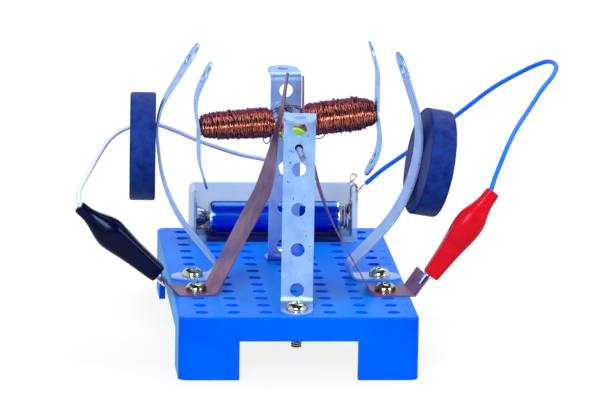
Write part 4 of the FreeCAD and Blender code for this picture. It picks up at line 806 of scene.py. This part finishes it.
# ---- cell: can, sleeve and cap, all about the cell's axis. The can's ends and the cap are
# (inwards from the end, radius) pairs
cell = {
    "y": 50.85, "z": 27.25, "left": -21.35, "right": 22.35, "radius": 5.25, "columns": 96,
    "leftEnd": [(0.1, pole), (0.1, 3.4), (0, 3.7), (0, 4.5), (0.25, 4.85), (0.9, 5.13),
                (1.6, 5.15)],
    "rightEnd": [(1.6, 5.15), (0.7, 5.13), (0.2, 4.85), (0, 4.4), (0, 3.6), (0.15, 3.3),
                 (0.15, pole)],
    "cap": [(0.1, 2.3), (-0.1, 2.1), (-0.3, 1.95), (-0.65, 1.85), (-0.78, 1.6), (-0.8, pole)],
    "capColumns": 64, "sleeve": (1.0, 1.1), "sleeveRows": 60, "inset": 0.02, "roll": 0.1,
    "rollLength": 0.25, "sleeveDepth": 0.3,
}


def makeCell(s):
    # the can: a lathe profile with a crimped rim at each end; the sleeve: a skin over it that
    # stops short of both rims, with a small roll where it has shrunk round the shoulder
    def lathe(profile, columns):
        return lathePoints(profile, columns, (0, s["y"], s["z"]), (1, 0, 0), (0, 0, 1)) * mm

    left, right, r = s["left"], s["right"], s["radius"]
    can = [(left + x, q) for x, q in s["leftEnd"]] + [(right - x, q) for x, q in s["rightEnd"]]
    mesh = makeMesh("cell_can", [(lathe(can, s["columns"]), False, True, True)])
    linked("cell_can", mesh, "nickelPlate", "cell", ["cell"])
    x = np.linspace(left + s["sleeve"][0], right - s["sleeve"][1], s["sleeveRows"])
    skin = r - s["inset"] - s["roll"] * (np.exp(-(x - x[0]) / s["rollLength"])
                                         + np.exp(-(x[-1] - x) / s["rollLength"]))
    inner = r - s["sleeveDepth"]
    sleeve = [(x[0], inner)] + list(zip(x, skin)) + [(x[-1], inner)]
    mesh = makeMesh("cell_sleeve", [(lathe(sleeve, s["columns"]), False, True, False)])
    linked("cell_sleeve", mesh, "shrinkSleeve", "cell", ["cell"])
    cap = [(left + x, q) for x, q in s["cap"]]
    mesh = makeMesh("cell_button", [(lathe(cap, s["capColumns"]), False, True, True)])
    linked("cell_button", mesh, "nickelPlate", "cell", ["cell_cap"])


makeCell(cell)

# ---- negative contact: bent strip and a tapered coil spring
negative = {
    "plateX": 25.7, "bottom": 21.8, "shoulder": 32.8, "hook": 38.1, "outerX": 27.8,
    "outerBottom": 32.1, "wide": 9, "narrow": 2.4, "sheet": 0.4, "wire": 0.55,
    "firstRadius": 4.5, "lastRadius": 3.1, "turns": 3, "end": 22.75, "steps": 40, "sides": 10,
    "hookHeight": 0.8, "hookRows": 13, "neck": 0.5,
    # the shares of the coil that stay flat at its start and take up its rise
    "flatShare": 0.12, "riseShare": 0.8,
}


def bentStrip(path, widths, thickness, centreY):
    # rectangular sections square to a path in the x-z plane, each with its own width
    path = np.array(path, float)
    way = np.gradient(path, axis=0)
    way /= np.linalg.norm(way, axis=1)[:, None]
    side = np.stack([way[:, 1], -way[:, 0]], axis=-1)
    rows = []
    for sx, sy in ((1, 1), (1, -1), (-1, -1), (-1, 1)):
        flat = path + side * thickness / 2 * sx
        y = centreY + np.array(widths) / 2 * sy
        rows.append(np.stack([flat[:, 0], y, flat[:, 1]], axis=-1))
    return np.stack(rows, axis=1)


def makeNegativeContact(s):
    bend = np.linspace(0, np.pi, s["hookRows"])
    middle = (s["plateX"] + s["outerX"]) / 2
    reach = (s["outerX"] - s["plateX"]) / 2
    rise = s["hookHeight"]
    over = [(middle - reach * math.cos(a), s["hook"] - rise + rise * math.sin(a)) for a in bend]
    path = [(s["plateX"], s["bottom"]), (s["plateX"], s["shoulder"] - 0.01),
            (s["plateX"], s["shoulder"] + s["neck"])] + over + [(s["outerX"], s["outerBottom"])]
    widths = [s["wide"]] * 2 + [s["narrow"]] * (len(over) + 2)
    strip = bentStrip(path, widths, s["sheet"], cell["y"]) * mm
    t = np.linspace(0, s["turns"], s["turns"] * s["steps"] + 1)
    share = t / s["turns"]
    start = s["plateX"] - s["sheet"] / 2 - s["wire"] / 2
    x = start + (s["end"] - start) * np.clip((share - s["flatShare"]) / s["riseShare"], 0, 1)
    radius = s["firstRadius"] + (s["lastRadius"] - s["firstRadius"]) * share
    path = np.stack([x, cell["y"] + radius * np.cos(2 * np.pi * t),
                     cell["z"] + radius * np.sin(2 * np.pi * t)], axis=-1)
    coil = tubePoints(path, s["wire"] / 2, s["sides"], np.array([1.0, 0, 0])) * mm
    mesh = makeMesh("spring_contact", [(strip, False, True, True), (coil, False, True, True)],
                    "spring")
    linked("spring_contact", mesh, "tarnishedNickel", "frame",
           ["negative_contact"])


makeNegativeContact(negative)
print("cell and contacts made")

# ---- bare strands of the leads: wound on the tail of the contact, then twisted as a bridge
# to the insulation, with two loose ends that curl up
strands = {
    "wire": 0.17, "sides": 6, "rows": 90, "curlRows": 80,
    "tailTurns": {"centre": (27.85, 50.85), "from": 35.2, "to": 37.2, "turns": 2.6,
                  "across": (0.55, 1.45), "offsets": (0, 0.35, 0.7)},
    "bridge": [(27.9, 50.4, 36.2), (28.6, 50.9, 36.3), (29.4, 50.7, 37.3), (30.2, 50.8, 38.0),
               (31.2, 50.8, 38.9)],
    # the bridge's strands, their distance from its middle, and the way square to it in x and z
    "count": 5, "bundle": 0.3, "square": (0.63, -0.78),
    "curl": [(27.4, 50.2, 37.6), (26.6, 49.7, 38.6), (25.4, 49.6, 39.8), (25.6, 49.8, 41.2),
             (26.9, 50.0, 41.6), (27.3, 50.2, 40.5), (26.2, 50.3, 39.4), (25.0, 50.2, 38.8)],
    "secondCurl": [0.25, 0.3, 0.3],
}


def makeStrands(s):
    # each wound strand: a flat helix, z rising evenly with its turns; each strand of the
    # bridge: the bridge's line plus a circle that goes round twice
    def wire(path, upward=(0.1, 1.0, 0.2)):
        return tubePoints(path, s["wire"], s["sides"], np.array(upward))

    turn = s["tailTurns"]
    grids = []
    for offset in turn["offsets"]:
        t = np.linspace(0, turn["turns"], s["rows"])
        angle = 2 * np.pi * (t + offset * 0.3)
        rise = (turn["to"] - turn["from"]) * t / turn["turns"]
        path = np.stack([turn["centre"][0] + turn["across"][0] * np.cos(angle),
                         turn["centre"][1] + turn["across"][1] * np.sin(angle),
                         turn["from"] + rise + offset * 0.5], -1)
        grids.append(wire(path, (0.0, 0, 1)))
    grids.append(wire(smoothPath(s["curl"], s["curlRows"])))
    bridge = smoothPath(s["bridge"], s["rows"])
    for phase in range(s["count"]):
        angle = np.linspace(0, 4 * np.pi, s["rows"]) + phase * 2 * np.pi / s["count"]
        aside = s["bundle"] * np.cos(angle)
        twist = np.stack([aside * s["square"][0], s["bundle"] * np.sin(angle),
                          aside * s["square"][1]], -1)
        grids.append(wire(bridge + twist))
    curl = np.array(s["curl"]) + s["secondCurl"]
    grids.append(wire(smoothPath(curl, s["curlRows"])))
    mesh = makeMesh("bare_strands", [(g * mm, False, True, True) for g in grids])
    linked("bare_strands", mesh, "tinnedStrands", "frame")


makeStrands(strands)
print("strands made")

# ---- small raised row numbers along one margin of the base
marks = {"x": 34.6, "height": 2.5, "raise": 0.12, "rows": 13, "first": -60, "pitch": 10}


def makeMarks(s):
    work = bmesh.new()
    for row in range(s["rows"]):
        text = bpy.data.curves.new("rowMark", "FONT")
        text.body = "%02d" % (row + 1)
        text.size = s["height"] * mm
        text.extrude = s["raise"] / 2 * mm
        text.align_x = "CENTER"
        text.align_y = "CENTER"
        holder = addObject("rowMark", text)
        bpy.context.view_layer.update()
        mesh = bpy.data.meshes.new_from_object(holder.evaluated_get(
            bpy.context.evaluated_depsgraph_get()))
        points = np.empty(len(mesh.vertices) * 3)
        mesh.vertices.foreach_get("co", points)
        place = np.array([s["x"], s["first"] + s["pitch"] * row, deck])
        points = points.reshape(-1, 3) + place * mm
        mesh.vertices.foreach_set("co", points.ravel())
        work.from_mesh(mesh)
        bpy.data.objects.remove(holder)
        bpy.data.meshes.remove(mesh)
        bpy.data.curves.remove(text)
    mesh = bpy.data.meshes.new("row_marks")
    work.to_mesh(mesh)
    work.free()
    linked("row_marks", mesh, "mouldedBluePlastic", "frame")


makeMarks(marks)
print("row marks made")

# ---- floor, background and light, in metres
studio = {
    "floorSize": 8, "floorColour": "#767C86", "floorSeen": "#F2F4F8", "floorGlow": 0.85,
    "worldLight": 0.62, "aim": (0, 0, 0.05),
    "cardColour": "#2A2C58",
    "cards": [
        [(-2, -2.4, 0.02), (2, -2.4, 0.02), (2, -2.4, 2.2), (-2, -2.4, 2.2)],
        [(-2, -2.4, 2.2), (2, -2.4, 2.2), (2, 3.2, 2.2), (-2, 3.2, 2.2)]],
    "lamps": [
        {"name": "key", "place": (-0.35, -1.3, 0.7), "size": 0.55, "power": 15.0},
        {"name": "fill", "place": (0.9, -0.8, 0.5), "size": 0.5, "power": 3.5},
        {"name": "top", "place": (0.3, 0.5, 1.0), "size": 0.9, "power": 6.5}],
}


def seenRays(tree):
    # 1 for what the camera sees, also in a mirror or through a clear wall, and 0 for light
    path = addNode(tree, "ShaderNodeLightPath")
    direct = addNode(tree, "ShaderNodeMath", {0: path.outputs["Is Camera Ray"],
                                              1: path.outputs["Is Glossy Ray"]},
                     operation="ADD")
    return addNode(tree, "ShaderNodeMath", {0: direct.outputs[0],
                                            1: path.outputs["Is Transmission Ray"]},
                   operation="ADD", use_clamp=True).outputs[0]


def stageQuads(name, quads, material):
    # flat four-cornered faces that belong to the stage and not to the object
    mesh = bpy.data.meshes.new(name)
    corners = [corner for quad in quads for corner in quad]
    mesh.from_pydata(corners, [], [range(4 * k, 4 * k + 4) for k in range(len(quads))])
    mesh.materials.append(material)
    piece = addObject(name, mesh)
    return piece


def makeStudio(s):
    pale = bpy.data.materials.new("paleFloor")
    tree = blankTree(pale)
    seen = seenRays(tree)
    share = addNode(tree, "ShaderNodeMath", {0: seen, 1: s["floorGlow"]}, operation="MULTIPLY")
    colour = mixColours(tree, seen, linear(s["floorColour"]), linear(s["floorSeen"]))
    matt = addNode(tree, "ShaderNodeBsdfDiffuse", {"Color": colour})
    glow = addNode(tree, "ShaderNodeEmission", {"Color": (1, 1, 1, 1), "Strength": 1.0})
    mix = addNode(tree, "ShaderNodeMixShader", {0: share.outputs[0], 1: matt.outputs[0],
                                                2: glow.outputs[0]})
    addNode(tree, "ShaderNodeOutputMaterial", {"Surface": mix.outputs[0]})
    half = s["floorSize"] / 2
    stageQuads("floor", [[(-half, -half, 0), (half, -half, 0), (half, half, 0),
                          (-half, half, 0)]], pale)

    # dark cards over the object and behind the camera, so that metal has something dark to
    # show as well; the camera and matt surfaces don't see them
    dark = bpy.data.materials.new("darkCard")
    tree = blankTree(dark)
    flat = addNode(tree, "ShaderNodeBsdfDiffuse", {"Color": linear(s["cardColour"])})
    addNode(tree, "ShaderNodeOutputMaterial", {"Surface": flat.outputs[0]})
    cards = stageQuads("cards", s["cards"], dark)
    cards.visible_diffuse = False
    cards.visible_camera = False

    world = bpy.data.worlds.new("studio")
    bpy.context.scene.world = world
    tree = blankTree(world)
    strength = addNode(tree, "ShaderNodeMapRange", {
        "Value": seenRays(tree), "To Min": s["worldLight"], "To Max": 1.0})
    back = addNode(tree, "ShaderNodeBackground", {"Color": (1, 1, 1, 1),
                                                  "Strength": strength.outputs["Result"]})
    addNode(tree, "ShaderNodeOutputWorld", {"Surface": back.outputs[0]})

    for spec in s["lamps"]:
        lamp = bpy.data.lights.new(spec["name"], "AREA")
        lamp.shape = "DISK"
        lamp.size = spec["size"]
        lamp.energy = spec["power"]
        holder = addObject(spec["name"], lamp)
        holder.location = spec["place"]
        holder.rotation_euler = (Vector(s["aim"]) - holder.location).to_track_quat(
            "-Z", "Y").to_euler()


makeStudio(studio)
bpy.context.scene.view_settings.view_transform = "Standard"
print("studio made")
